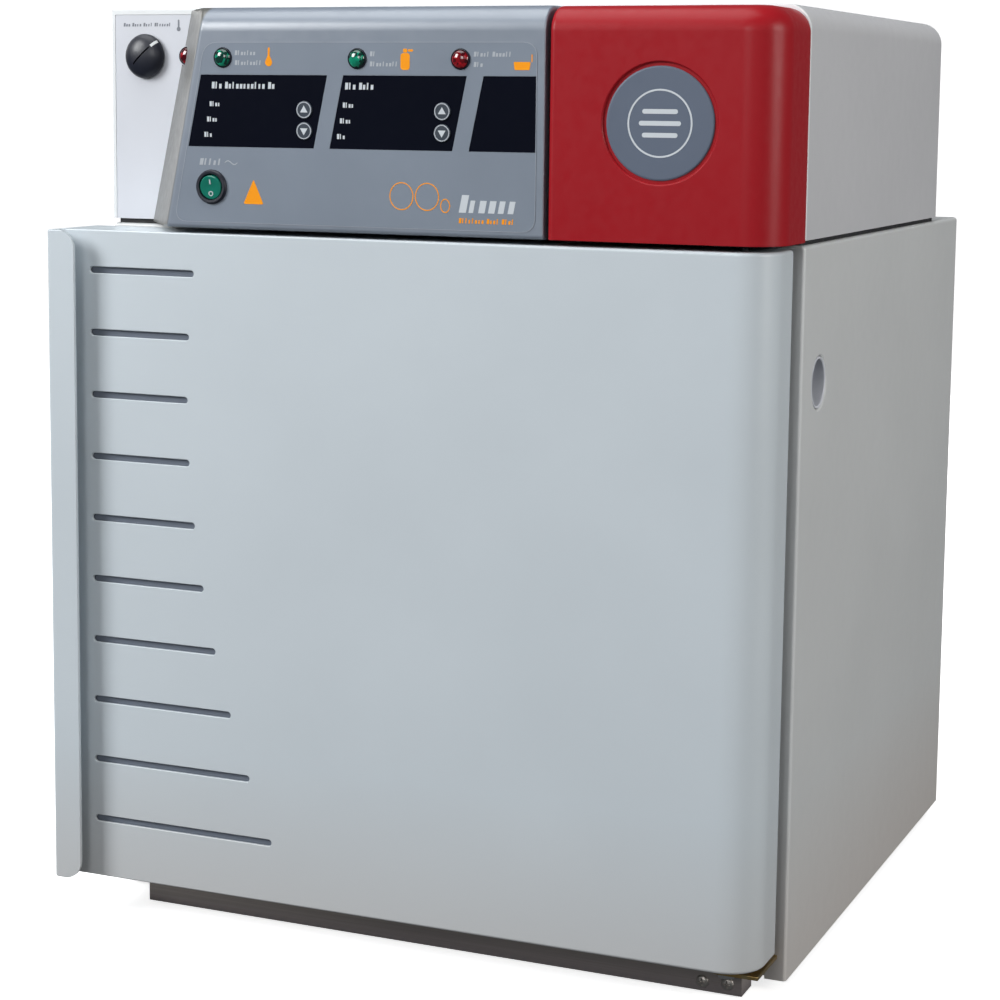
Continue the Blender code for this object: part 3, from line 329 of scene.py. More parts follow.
def new_mesh(name, shape):
    """The bmesh, given in millimetres in the cabinet's frame, as a mesh in the world's metres."""
    bmesh.ops.scale(shape, vec=(MM, MM, MM), verts=shape.verts)
    bmesh.ops.translate(shape, vec=PLACE, verts=shape.verts)
    bmesh.ops.recalc_face_normals(shape, faces=shape.faces)
    mesh = bpy.data.meshes.new(name)
    shape.to_mesh(mesh)
    shape.free()
    return mesh


def tool(shape):
    """A shape that only cuts or joins, and goes when that is done."""
    made = bpy.data.objects.new("tool", new_mesh("tool", shape))
    bpy.context.scene.collection.objects.link(made)
    return made


def combined(name, shape, cutters=(), joiners=()):
    """The mesh of a shape after its booleans."""
    base = tool(shape)
    used = [(tool(other), "UNION") for other in joiners] + [(tool(other), "DIFFERENCE") for other in cutters]
    for other, operation in used:
        step = base.modifiers.new("step", "BOOLEAN")
        step.operation = operation
        step.solver = "EXACT"
        step.object = other
    bpy.context.view_layer.update()
    graph = bpy.context.evaluated_depsgraph_get()
    mesh = bpy.data.meshes.new_from_object(base.evaluated_get(graph))
    mesh.name = name
    for made in [base] + [other for other, _ in used]:
        old = made.data
        bpy.data.objects.remove(made)
        bpy.data.meshes.remove(old)
    return mesh


def piece(name, shape, finish, body="cabinet", stands_for=None, cutters=(), joiners=(), bevel=0.0,
          segments=3):
    """One visible piece with soft edges: what carries it, and the CAD node that it replaces."""
    mesh = combined(name, shape, cutters, joiners) if cutters or joiners else new_mesh(name, shape)
    made = bpy.data.objects.new(name, mesh)
    bpy.context.scene.collection.objects.link(made)
    give(made, finish)
    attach(made, body)
    if stands_for:
        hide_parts(stands_for)
    if bevel:
        soften = made.modifiers.new("edges", "BEVEL")
        soften.width = bevel * MM
        soften.segments = segments
        soften.limit_method = "ANGLE"
        soften.angle_limit = math.radians(SHARP)
        soften.use_clamp_overlap = True
    smooth(made)
    return made


def smooth(made):
    made.data.shade_smooth()
    made.data.set_sharp_from_angle(angle=math.radians(SHARP))
    even = made.modifiers.new("even_shading", "WEIGHTED_NORMAL")
    even.keep_sharp = True


def give(made, finish):
    made.data.materials.clear()
    made.data.materials.append(finish)


def box(low, high):
    shape = bmesh.new()
    bmesh.ops.create_cube(shape, size=1.0)
    low, high = Vector(low), Vector(high)
    bmesh.ops.scale(shape, vec=high - low, verts=shape.verts)
    bmesh.ops.translate(shape, vec=(low + high) / 2, verts=shape.verts)
    return shape


def bridge(shape, rings, closed=False):
    """Faces between each ring of vertices and the next. A ring may be a single vertex."""
    pairs = list(zip(rings, rings[1:])) + ([(rings[-1], rings[0])] if closed else [])
    for first, second in pairs:
        count = max(len(first), len(second))
        for i in range(count):
            j = (i + 1) % count
            ends = [ring[k % len(ring)] for ring, k in ((first, i), (first, j), (second, j), (second, i))]
            shape.faces.new(list(dict.fromkeys(ends)))


def loft(loops, closed=False):
    """A skin over rings of points, all of one length, with flat ends unless it closes on itself."""
    shape = bmesh.new()
    rings = [[shape.verts.new(point) for point in loop] for loop in loops]
    bridge(shape, rings, closed)
    if not closed:
        shape.faces.new(rings[0])
        shape.faces.new(rings[-1][::-1])
    return shape


def arc(centre, radius, start, end, steps):
    turns = [math.radians(start + (end - start) * i / steps) for i in range(steps + 1)]
    return [(centre[0] + radius * math.cos(t), centre[1] + radius * math.sin(t)) for t in turns]


def rounded(x0, x1, z0, z1, radius, steps=6):
    """A rectangle with round corners, anticlockwise."""
    points = arc((x1 - radius, z0 + radius), radius, -90, 0, steps)
    points += arc((x1 - radius, z1 - radius), radius, 0, 90, steps)
    points += arc((x0 + radius, z1 - radius), radius, 90, 180, steps)
    points += arc((x0 + radius, z0 + radius), radius, 180, 270, steps)
    return points


def inset_round(low, high, inset, radius, steps=6, plane="xz"):
    """The rounded rectangle between two corners, in one plane, moved inwards all round."""
    (x0, z0), (x1, z1) = getattr(low, plane), getattr(high, plane)
    return rounded(x0 + inset, x1 - inset, z0 + inset, z1 - inset, radius, steps)


def placed(outline, level, along="Y"):
    """A flat outline's points in space, at a level along one axis."""
    fixed = "XYZ".index(along)
    return [(*point[:fixed], level, *point[fixed:]) for point in outline]


def prism(outline, level, other, along="Y"):
    return loft([placed(outline, reach, along) for reach in (level, other)])


def swung(shape, matrix):
    bmesh.ops.transform(shape, matrix=matrix, verts=shape.verts)
    return shape


AIM = {
    "-Y": Matrix.Rotation(math.pi / 2, 4, "X"),
    "Y": Matrix.Rotation(-math.pi / 2, 4, "X"),
    "X": Matrix.Rotation(math.pi / 2, 4, "Y"),
    "Z": Matrix.Identity(4),
    "-Z": Matrix.Rotation(math.pi, 4, "X"),
}


def turned(profile, centre, towards="-Y", steps=48, closed=False):
    """A turned shape. The profile holds radius and height on the side it faces, and may end on the axis."""
    shape = bmesh.new()
    turns = [2 * math.pi * i / steps for i in range(steps)]
    rings = []
    for radius, height in profile:
        around = turns if radius else turns[:1]
        rings.append([shape.verts.new((radius * math.cos(t), radius * math.sin(t), height)) for t in around])
    bridge(shape, rings, closed)
    return swung(shape, Matrix.Translation(centre) @ AIM[towards])


def rod(start, end, radius, steps=32):
    start = Vector(start)
    reach = Vector(end) - start
    axis = max(range(3), key=lambda i: abs(reach[i]))
    length = math.copysign(reach.length, reach[axis])
    return turned([(0, 0), (radius, 0), (radius, length), (0, length)], start, "XYZ"[axis], steps)


def soft_disc(radius, top, low, edge, steps=5):
    """The profile of a disc with a rounded rim, from its middle at the top down to its base."""
    rim = arc((radius - edge, top - edge), edge, 90, 0, steps)
    return [(0, top), *rim, (radius, low), (0, low)]


def round_picked(shape, radius, segments, test):
    chosen = []
    for edge in shape.edges:
        mid = (edge.verts[0].co + edge.verts[1].co) / 2
        along = (edge.verts[1].co - edge.verts[0].co).normalized()
        if test(mid, along):
            chosen.append(edge)
    bmesh.ops.bevel(shape, geom=chosen, offset=radius, segments=segments, profile=0.5, affect="EDGES")
    return shape


def ring_sweep(low, high, profile, radius):
    """A closed section swept round an upright rectangle. The section holds the inset and the depth Y."""
    loops = [placed(inset_round(low, high, inset, max(radius - inset, 0.3)), y) for inset, y in profile]
    return loft(loops, closed=True)


def inset_outline(outline, amounts):
    """The closed outline with each corner moved inwards along its mitre by its own amount."""
    moved = []
    count = len(outline)
    for i, (x, y) in enumerate(outline):
        before = Vector(outline[i - 1])
        here = Vector((x, y))
        after = Vector(outline[(i + 1) % count])
        first = (here - before).normalized()
        second = (after - here).normalized()
        normals = Vector((first.y, -first.x)), Vector((second.y, -second.x))
        mitre = (normals[0] + normals[1]) / (1 + normals[0].dot(normals[1]))
        moved.append(here - mitre * amounts[i])
    return [(point.x, point.y) for point in moved]


def cross_recess(centre, towards_y, size=5.0, depth=1.6):
    """The two crossing bars that a screwdriver leaves in a screw head."""
    x, y, z = centre
    low, high = sorted((y, y + depth * towards_y))
    first = box((x - size / 2, low - 0.5, z - 0.6), (x + size / 2, high, z + 0.6))
    second = box((x - 0.6, low - 0.5, z - size / 2), (x + 0.6, high, z + size / 2))
    return [first, second]


def dome(radius, height, angles, base=0.0):
    """The profile of a dome, from its middle down to its rim."""
    slopes = [math.radians(angle) for angle in angles]
    return [(0, base + height), *[(radius * math.sin(t), base + height * math.cos(t)) for t in slopes]]


def front_screw(name, x, y, z, radius, height, finish, body="cabinet"):
    head = dome(radius, height, (18, 36, 54, 72, 90))
    shape = turned([*head, (radius, -1.0), (0, -1.0)], (x, y, z), "-Y", 32)
    piece(name, shape, finish, body, cutters=cross_recess((x, y - height, z), 1, radius * 1.1))


# ---------------------------------------------------------------- outer door

SKIN_T = 2.0
SKIN_SOFT = 2.6  # how far the skin's edges are rounded
LIP_SOFT = 0.9  # and the finger-pull lip's
LIP_W = 24.4
LIP_T = 2.0
LIP_WALL = 3.0
LIP_CORNER = 15.0
REAR_Y = -12.7
SLOT_COUNT = 10
SLOT_TOP = 497.7
SLOT_PITCH = 47.5
SLOT_H = 5.0
SLOT_LEFT = -537.8
DISH = (Vector((-529.0, -26.5, 42.0)), Vector((-60.0, REAR_Y, 502.0)))


def slot_length(i):
    return 84.3 + 1.45 * (i - 2.02) ** 2


def door_plan():
    """The door's plan from its rear left corner, and how far each corner is rounded at the top and base."""
    left, front = DOOR_LOW.x, DOOR_LOW.y
    wall = left + LIP_WALL
    points = [(left, REAR_Y)]
    points += arc((left + 3.5, front + 3.5), 3.5, 180, 270, 6)
    points += [(left + LIP_W - 0.6, front), (left + LIP_W, front + 0.6), (left + LIP_W, front + LIP_T)]
    points += [(wall + 1, front + LIP_T), (wall, front + LIP_T + 1)]
    points += arc((wall + 5, FACE_Y - 5), 5, 180, 90, 6)
    on_lip = len(points)
    points += arc((HINGE_X, HINGE_Y), CORNER, 270, 360, 32)
    points += [(DOOR_HIGH.x, REAR_Y - 3), (DOOR_HIGH.x - 3, REAR_Y)]
    soft = [LIP_SOFT] * on_lip + [SKIN_SOFT] * (len(points) - on_lip)
    soft[0] = soft[-1] = 0.0
    return points, soft


def door_body():
    plan, soft = door_plan()
    steps = 5
    loops = []
    for end, turn in ((DOOR_LOW.z, 1), (DOOR_HIGH.z, -1)):
        rings = []
        for k in range(steps + 1):
            lean = math.radians(90 * k / steps)
            outline = inset_outline(plan, [r * (1 - math.sin(lean)) for r in soft])
            rings.append([(x, y, end + turn * r * (1 - math.cos(lean))) for (x, y), r in zip(outline, soft)])
        loops += rings if turn > 0 else rings[::-1]
    return loft(loops)


def door_room():
    """The space inside the skin."""
    left = DOOR_LOW.x + SKIN_T
    room = [(left, REAR_Y + 5), (left, FACE_Y + SKIN_T)]
    room += arc((HINGE_X, HINGE_Y), CORNER - SKIN_T, 270, 360, 16)
    room += [(DOOR_HIGH.x - SKIN_T, REAR_Y - 4), (DOOR_HIGH.x - 5, REAR_Y + 5)]
    return prism(room, DOOR_LOW.z + SKIN_T, DOOR_HIGH.z - SKIN_T, "Z")


def slot_cutter(i):
    """One slot through the skin, a little wider at the face."""
    z = SLOT_TOP - i * SLOT_PITCH
    start, end = SLOT_LEFT + SLOT_H / 2, SLOT_LEFT + slot_length(i) - SLOT_H / 2
    rings = []
    for wide, y in ((0.9, FACE_Y - 0.4), (0.0, FACE_Y + 0.5), (0.0, FACE_Y + SKIN_T + 1)):
        half = SLOT_H / 2 + wide
        rings.append(placed(arc((start, z), half, 90, 270, 10) + arc((end, z), half, -90, 90, 10), y))
    return loft(rings)


def lip_corner_cutter(z, turn):
    """What rounds the lip's corner, at its base or, with turn -1, at its top."""
    edge = DOOR_LOW.x + LIP_W
    centre = (edge - LIP_CORNER, z + turn * LIP_CORNER)
    corner = [(edge + 2, z - turn * 2), (edge + 2, centre[1]), (edge, centre[1])]
    corner += arc(centre, LIP_CORNER, 0, -90 * turn, 14)[1:] + [(centre[0], z - turn * 2)]
    return prism(corner, DOOR_LOW.y - 1, DOOR_LOW.y + LIP_T + 1.5)


def make_door():
    pin_bore = rod((HINGE_X, HINGE_Y, -20), (HINGE_X, HINGE_Y, 560), 4.4)
    cutters = [door_room(), pin_bore, *[slot_cutter(i) for i in range(SLOT_COUNT)]]
    cutters += [lip_corner_cutter(DOOR_LOW.z, 1), lip_corner_cutter(DOOR_HIGH.z, -1)]
    piece("door_shell", door_body(), PAINT, "outer_door", "door_skin", cutters)
    low_slot = SLOT_TOP - (SLOT_COUNT - 1) * SLOT_PITCH
    # the grooves' floor behind the slots, in painted shade
    corner = (SLOT_LEFT - 8, FACE_Y + 3.4, low_slot - 12)
    backing = box(corner, (SLOT_LEFT + 190, FACE_Y + 4.4, SLOT_TOP + 12))
    piece("slot_backing", backing, SLOT_SHADE, "outer_door")
    low, high = near("door_insulation")
    wool = box((low.x, FACE_Y + 5.5, low.z), high)
    piece("door_wool", wool, FOAM, "outer_door", "door_insulation", bevel=2.0)


def make_door_inside():
    rim = prism(inset_round(*near("door_liner"), 0, 6), REAR_Y - 2.2, REAR_Y - 0.2)
    floor = DISH[0].y
    tub = prism(inset_round(*DISH, -2, 18), floor - 2, REAR_Y - 0.4)
    section = ((5.0, floor), (1.5, floor + 1.5), (0.0, floor + 5), (0.0, REAR_Y - 1.6), (-1.6, REAR_Y + 1))
    hollow = loft([placed(inset_round(*DISH, inset, 16 - inset / 2, 8), y) for inset, y in section])
    piece("door_pan", rim, LINER_WHITE, "outer_door", "door_liner", [hollow], [tub])
    low, high = near("door_gasket")
    depth = high.y - low.y
    section = [(1.0, 0.0), (0.3, 0.25), (0.6, 0.35), (0.0, 0.5), (0.3, 0.8), (1.2, 1.0)]
    section += [(10.8, 1.0), (11.7, 0.8), (12.0, 0.5), (11.4, 0.35), (11.7, 0.25), (11.0, 0.0)]
    profile = [(inset, low.y + depth * share) for inset, share in section]
    piece("door_seal", ring_sweep(low, high, profile, 3), RUBBER, "outer_door", "door_gasket")


# ---------------------------------------------------------------- cabinet

PORT = Vector((0.0, 45.3, 430.0))
PORT_R = 19.3
VENT_H = 4  # height of one ventilation slot


def make_case():
    w, d, h = CABINET_HIGH - CABINET_LOW
    loops = []
    for inset, y in ((2.4, 0.0), (1.3, 0.35), (0.4, 1.2), (0.0, 2.6), (0.0, d - 1.0), (0.5, d)):
        outline = [(-w + inset, 0.0), (-inset, 0.0)]
        outline += arc((-3 - inset / 2, h - 3 - inset / 2), 3 - inset / 2, 0, 90, 6)
        outline += arc((-w + 3 + inset / 2, h - 3 - inset / 2), 3 - inset / 2, 90, 180, 6)
        loops.append(placed(outline, y))
    inside = box((-w + SHEET, SHEET, -1), (-SHEET, d + 1, h - SHEET))
    mouth = box((-w + 16, -2, -2), (-16, 5, h - 16))
    flare = [(0, 3), (21.0, 3), (21.0, 0.3), (20.3, -0.25), (19.5, -0.6)]
    flare += [(PORT_R, -1.0), (PORT_R, -8), (0, -8)]
    port = turned(flare, (0, PORT.y, PORT.z), "X", 64)
    piece("cabinet_wrap", loft(loops), CASE, "cabinet", "cabinet_shell", [inside, mouth, port])


def make_front_frame():
    low, high = near("front_frame")
    plate = box((low.x + 12, 1.0, low.z + 8), (high.x - 12, high.y, high.z - 12))
    opening = prism(inset_round(*near("chamber_liner"), -0.3, 4), -5, 20)
    piece("breaker_frame", plate, LINER_WHITE, "cabinet", "front_frame", [opening], bevel=0.6)


def vents(start, pitch, counts, length, front, rear):
    """Cutters for rows of ventilation slots, from the lowest at the left."""
    cutters = []
    for row in range(counts[1]):
        for column in range(counts[0]):
            x, z = start[0] + column * pitch[0], start[1] + row * pitch[1]
            cutters.append(prism(rounded(x, x + length, z, z + VENT_H, 2, 4), front, rear))
    return cutters


def make_rear_cover():
    low, high = near("rear_panel")
    back = prism(inset_round(low, high, 0, 2), low.y, high.y)
    cutters = vents((-410, 60), (32, 11), (9, 5), 24, low.y - 2, high.y + 2)
    piece("rear_cover", back, CASE, "cabinet", "rear_panel", cutters, bevel=0.4)
    # A black sheet behind the vents: painted shade for the dark inside.
    inner = box((-440, low.y - 4, 50), (-110, low.y - 3, 130))
    piece("rear_vent_shade_sheet", inner, MATTE_BLACK)
    for i, x in enumerate((-540, -410, -280, -150, -19)):
        for j, z in enumerate((14, 516)):
            rear_screw(f"rear_screw_{i}_{j}", x, high.y, z)
    for i, z in enumerate((140, 265, 390)):
        rear_screw(f"rear_edge_screw_left_{i}", -545, high.y, z)
        rear_screw(f"rear_edge_screw_right_{i}", -14, high.y, z)


def make_feet():
    section = [(0, 0), (5, 0), (5.5, 1.2), (13.5, 1.2), (14.5, 0)]
    section += [(15.6, 0), (16, 0.8), (15.2, 7.7), (0, 7.7)]
    for node in ("foot_front_left", "foot_rear_left", "foot_front_right", "foot_rear_right"):
        low, high = near(node)
        centre = (low + high) / 2
        profile = [(radius, high.z - low.z - drop) for radius, drop in section]
        shape = turned(profile[::-1], (centre.x, centre.y, low.z), "Z", 40)
        piece(f"{node}_pad", shape, RUBBER, "cabinet", node)


def rear_screw(name, x, y, z):
    head = dome(3.6, 1.8, (25, 50, 75, 90))
    shape = turned([*head, (3.6, -0.8), (0, -0.8)], (x, y - 1.7, z), "Y", 24)
    piece(name, shape, BRIGHT, "cabinet", cutters=cross_recess((x, y + 0.1, z), -1, 4, 1.2))


RAIL_T = 2.0
PIN_R = 4  # radius of the outer door's pins


def make_sill():
    low, high = near("sill_rail")
    rail = round_picked(box(low, high), 3.0, 5,
                        lambda mid, along: abs(along.x) > 0.9 and mid.y < low.y + 1 and mid.z > high.z - 1)
    hollow = box((low.x + RAIL_T, low.y + RAIL_T, low.z - 1), (high.x - RAIL_T, high.y + 5, high.z - RAIL_T))
    piece("sill_channel", rail, RAIL, "cabinet", "sill_rail", [hollow], bevel=0.4)
    front_screw("sill_screw_left", -54.8, low.y, 0.2, 4.8, 2.2, SCREW)
    front_screw("sill_screw_right", -36.0, low.y, 1.2, 4.8, 2.2, SCREW)


def make_hinges():
    axis = (HINGE_X, HINGE_Y, 0)
    low, high = near("lower_hinge_bracket")
    plan = [(high.x, low.y), (high.x, high.y), (low.x, high.y), *arc((low.x + 9, low.y + 9), 9, 180, 270, 8)]
    plate = prism(plan, low.z, high.z, "Z")
    piece("lower_hinge_plate", plate, ZINC, "cabinet", "lower_hinge_bracket", bevel=0.5)
    low, high = near("lower_hinge_pin")
    profile = [(0, low.z), (6.5, low.z), (6.5, low.z + 3), (PIN_R, low.z + 3)]
    profile += [(PIN_R, high.z - 1), (3, high.z), (0, high.z)]
    pin = turned(profile, axis, "Z", 32)
    piece("lower_pin", pin, BRIGHT, "cabinet", "lower_hinge_pin")
    low, high = near("upper_hinge_bracket")
    plate = box((low.x, low.y, high.z - 1.5), (high.x, high.y, high.z))
    plate = round_picked(plate, 8, 6, lambda mid, along: abs(along.z) > 0.9)
    profile = [(0, low.z), (3, low.z), (PIN_R, low.z + 1), (PIN_R, high.z - 1), (0, high.z - 1)]
    upper_pin = turned(profile, axis, "Z", 32)
    piece("upper_hinge_plate", plate, DARK_ZINC, "cabinet", "upper_hinge_bracket", joiners=[upper_pin])


def make_fill_cap():
    low, high = near("fill_neck")
    x, y = (low.x + high.x) / 2, (low.y + high.y) / 2
    profile = [(0, high.z), (12.5, high.z), (13.5, high.z - 1), (14, high.z - 3), (14, low.z + 6.5)]
    profile += [(13, low.z + 6), (16, low.z + 6), (17, low.z + 5), (17, low.z), (0, low.z)]
    cap = turned(profile, (x, y, 0), "Z", 48)
    grips = []
    for i in range(16):
        t = 2 * math.pi * i / 16
        spot = (x + 14.6 * math.cos(t), y + 14.6 * math.sin(t))
        grips.append(rod((*spot, low.z + 8), (*spot, high.z + 2), 1.2, 10))
    piece("jacket_fill_cap", cap, BLACK, "cabinet", "fill_neck", grips)


# ---------------------------------------------------------------- chamber


FLANGE = 14.0  # how far the chamber's brim stands round its mouth
CHAMBER_WALL = 1.5


def make_chamber():
    low, high = near("chamber_liner")
    inner_low = Vector((low.x + FLANGE, low.y, low.z + FLANGE))
    inner_high = Vector((high.x - FLANGE, high.y - CHAMBER_WALL, high.z - FLANGE))
    inner = (inner_low, inner_high)
    rear = inner_high.y
    body = prism(inset_round(*inner, -CHAMBER_WALL, 15, 8), low.y + 0.2, high.y)
    brim = prism(inset_round(low, high, 0, 4), low.y, low.y + CHAMBER_WALL)
    section = ((-1.2, low.y - 1), (0.0, low.y + 1.2), (0.0, rear - 12), (3.5, rear - 3.5), (12.0, rear))
    room = loft([placed(inset_round(*inner, inset, 14 - inset / 3, 8), y) for inset, y in section])
    hole = rod((inner_high.x - 6, PORT.y, PORT.z), (inner_high.x + 6, PORT.y, PORT.z), PORT_R, 48)
    piece("chamber_shell", body, STAINLESS_UP, "cabinet", "chamber_liner", [room, hole], [brim])
    low, high = near("port_tube")
    lip = high.x - 0.6
    profile = [(17, low.x), (19, low.x), (19, lip), (18.6, high.x), (17.5, high.x), (17, lip)]
    sleeve = turned(profile, (0, PORT.y, PORT.z), "X", 64, closed=True)
    piece("port_sleeve", sleeve, WHITE, "cabinet", "port_tube")
    low, high = near("chamber_gasket")
    section = [(0.5, 0.0), (0.0, 0.4), (0.5, 1.0), (7.5, 1.0)]
    section += [(8.0, 0.4), (7.5, 0.0), (5.0, 0.25), (3.0, 0.25)]
    profile = [(inset, high.y - (high.y - low.y) * share) for inset, share in section]
    piece("mouth_seal", ring_sweep(low, high, profile, 5), RUBBER, "cabinet", "chamber_gasket")


def make_water_tray():
    low, high = near("humidity_pan")

    def bowl(section, radius):
        return loft([placed(inset_round(low, high, inset, radius, 8, "xy"), z, "Z") for inset, z in section])

    room = bowl(((-0.01, high.z + 1), (1.2, high.z - 1.2), (4, low.z + 4), (8, low.z + 1.3)), 14)
    outside = ((0.0, high.z), (0.0, high.z - 1.4), (2.6, high.z - 1.5), (5.0, low.z + 3), (8.5, low.z))
    piece("water_tray", bowl(outside, 15), STAINLESS, "cabinet", "humidity_pan", [room])


RACK_LEDGES = (150.0, 250.0, 350.0)
SHELF_T = 1.2
SHELF_MARGIN = 14.0  # the plain border round a shelf's holes


def make_rack(side):
    """Two posts on the chamber's wall, and an angle ledge under each shelf."""
    node = f"shelf_rack_{side}"
    low, high = near(node)
    wall, inward = (low.x, 1) if side == "left" else (high.x, -1)

    def bar(start, end, front, rear, base, top):
        xs = sorted((wall + inward * start, wall + inward * end))
        return box((xs[0], front, base), (xs[1], rear, top))

    bars = [bar(0, 3.0, y, y + 10, low.z, high.z) for y in (95.0, 345.0)]
    for shelf in RACK_LEDGES:
        z = shelf - 12.3
        bars += [bar(0, 12.0, 50, 392, z, z + 1.5), bar(10.6, 12.0, 50, 392, z, z + 3.0)]
    piece(f"rack_{side}", bars[0], STAINLESS, "cabinet", node, joiners=bars[1:], bevel=0.3, segments=2)


def make_shelf(node):
    """A sheet shelf with its rim turned down and rows of round holes, laid out cell by cell."""
    low, high = near(node)
    columns, rows = 19, 17
    sides = 12
    hole = 5.0
    x0, x1 = low.x + SHELF_MARGIN, high.x - SHELF_MARGIN
    y0, y1 = low.y + SHELF_MARGIN, high.y - SHELF_MARGIN
    shape = bmesh.new()
    grid = []
    for j in range(rows + 1):
        y = y0 + (y1 - y0) * j / rows
        grid.append([shape.verts.new((x0 + (x1 - x0) * i / columns, y, high.z)) for i in range(columns + 1)])
    for j in range(rows):
        for i in range(columns):
            cell = [grid[j][i], grid[j][i + 1], grid[j + 1][i + 1], grid[j + 1][i]]
            centre = (cell[0].co + cell[2].co) / 2
            ring = []
            for k in range(sides):
                turn = 2 * math.pi * (k - 1.5) / sides - math.pi / 2
                ring.append(shape.verts.new(centre + Vector((math.cos(turn), math.sin(turn), 0)) * hole))
            for side in range(4):
                quarter = [ring[(side * 3 + k) % sides] for k in range(4)]
                shape.faces.new([cell[side], cell[(side + 1) % 4], *quarter[::-1]])
    border = [grid[0][i] for i in range(columns)] + [grid[j][columns] for j in range(rows)]
    border += [grid[rows][i] for i in range(columns, 0, -1)] + [grid[j][0] for j in range(rows, 0, -1)]
    loops = [border]
    centre = Vector(((low.x + high.x) / 2, (low.y + high.y) / 2, 0))
    half = Vector(((high.x - low.x) / 2, (high.y - low.y) / 2, 0))
    inner = Vector(((x1 - x0) / 2, (y1 - y0) / 2, 0))
    for share, drop in ((0.94, 0.0), (1.0, -0.8), (1.0, low.z - high.z)):
        loop = []
        for vert in border:
            offset = vert.co - centre
            reach = Vector((offset.x / inner.x * half.x, offset.y / inner.y * half.y, 0))
            spot = Vector((offset.x, offset.y, 0)).lerp(reach, share)
            loop.append(shape.verts.new((centre.x + spot.x, centre.y + spot.y, high.z + drop)))
        loops.append(loop)
    bridge(shape, loops)
    made = piece(f"{node}_sheet", shape, STAINLESS, "cabinet", node)
    thick = made.modifiers.new("sheet", "SOLIDIFY")
    thick.thickness = SHELF_T * MM
    thick.offset = -1.0
    made.modifiers.remove(made.modifiers["even_shading"])


# ---------------------------------------------------------------- glass inner door

PANE = (Vector((-500.0, -9.0, 50.0)), Vector((-66.0, -3.0, 490.0)))
GLASS_AXIS = (-70.0, -6.0)
KNUCKLES = (130.0, 410.0)
KNUCKLE_HALF = 18
LATCH = (-486.0, 265.0)


def make_glass_door():
    low, high = PANE
    pane = prism(rounded(low.x, high.x - 12, low.z, high.z, 6), low.y, high.y)
    piece("glass_pane", pane, GLASS, "inner_door", "glass_door", bevel=0.8)
    for i, z in enumerate(KNUCKLES):
        base, top = z - KNUCKLE_HALF, z + KNUCKLE_HALF
        profile = [(2.8, base), (4.4, base), (4.5, z - 17.4), (4.5, z + 17.4), (4.4, top), (2.8, top)]
        knuckle = turned(profile, (*GLASS_AXIS, 0), "Z", 32, closed=True)
        outline = rounded(GLASS_AXIS[0] - 44, GLASS_AXIS[0] - 3.4, base, top, 3)
        leaf = prism(outline, low.y - 1.6, low.y - 0.05)
        inner = prism(outline, high.y + 0.05, high.y + 0.28)
        piece(f"glass_hinge_knuckle_{i}", knuckle, BRIGHT, "inner_door")
        piece(f"glass_hinge_leaf_{i}", leaf, BRIGHT, "inner_door", bevel=0.3)
        piece(f"glass_hinge_backing_{i}", inner, BRIGHT, "inner_door")
        for j, dz in enumerate((-10, 10)):
            name = f"glass_screw_{i}_{j}"
            front_screw(name, GLASS_AXIS[0] - 30, low.y - 1.6, z + dz, 3.6, 1.6, BRIGHT, "inner_door")
    low, high = near("inner_hinge_rod")
    lugs = []
    for z in (64.0, 476.0):
        lugs.append(box((GLASS_AXIS[0] - 4, GLASS_AXIS[1] - 4, z - 4), (GLASS_AXIS[0] + 4, high.y, z + 4)))
    spindle = rod((*GLASS_AXIS, 62), (*GLASS_AXIS, 478), 2.5)
    piece("glass_hinge_spindle", spindle, BRIGHT, "cabinet", "inner_hinge_rod", joiners=lugs, bevel=0.4)


def make_latch():
    low, high = near("inner_latch")
    x, z = LATCH
    profile = [(0, 11.7), (8.5, 11.7), (10.4, 10.8), (11, 9.2), (11, 4.6), (9.6, 3.6), (9.6, 0.05), (0, 0.05)]
    knob = turned(profile, (x, high.y, z), "-Y", 40)
    flutes = []
    for i in range(12):
        t = 2 * math.pi * (i + 0.5) / 12
        spot = (x + 11.8 * math.cos(t), z + 11.8 * math.sin(t))
        flutes.append(rod((spot[0], low.y - 1, spot[1]), (spot[0], high.y - 4.4, spot[1]), 1.5, 12))
    tongue = prism(rounded(x - 4, x + 4, z - 4, z + 28, 4), high.y - 3.5, high.y - 0.5)
    piece("latch_knob", knob, BLACK, "inner_latch", "inner_latch", flutes)
    piece("latch_tongue", tongue, BRIGHT, "inner_latch", bevel=0.4)
    low, high = near("latch_keeper")
    gap = box((low.x + 3, low.y + 2, low.z - 1), (high.x + 8, -4, high.z + 1))
    piece("keeper_hook", box(low, high), BRIGHT, "cabinet", "latch_keeper", [gap], bevel=0.5)


# ---------------------------------------------------------------- head


def head_outline(inset):
    left = HEAD_LOW.x + inset
    right = HEAD_HIGH.x - inset
    top = HEAD_HIGH.z - inset
    radius = ROUND - inset
    points = [(left, HEAD_LOW.z), (right, HEAD_LOW.z)]
    points += arc((right - radius, top - radius), radius, 0, 90, 20)
    return points + arc((left + 2.0, top - 2.0), 2.0, 90, 180, 5)


PLATE_HIGH = 690.6
PLATE_MARGIN = 3.4
PLATE_ROUND = 13
POWER_INLET = (-430, 600)
GAS_INLET = (-520, 590)


def plate_outline(inset, base):
    """The front plate with its two upper corners rounded, from the base on its left."""
    left = HEAD_LOW.x + PLATE_MARGIN + inset
    right = -PLATE_MARGIN - inset
    top = PLATE_HIGH - inset
    rim = arc((right - PLATE_ROUND, top - PLATE_ROUND), PLATE_ROUND, 0, 90, 12)
    rim += arc((left + 1, top - 1), 1, 90, 180, 4)
    return [(rim[-1][0], base), (rim[0][0], base), *rim]


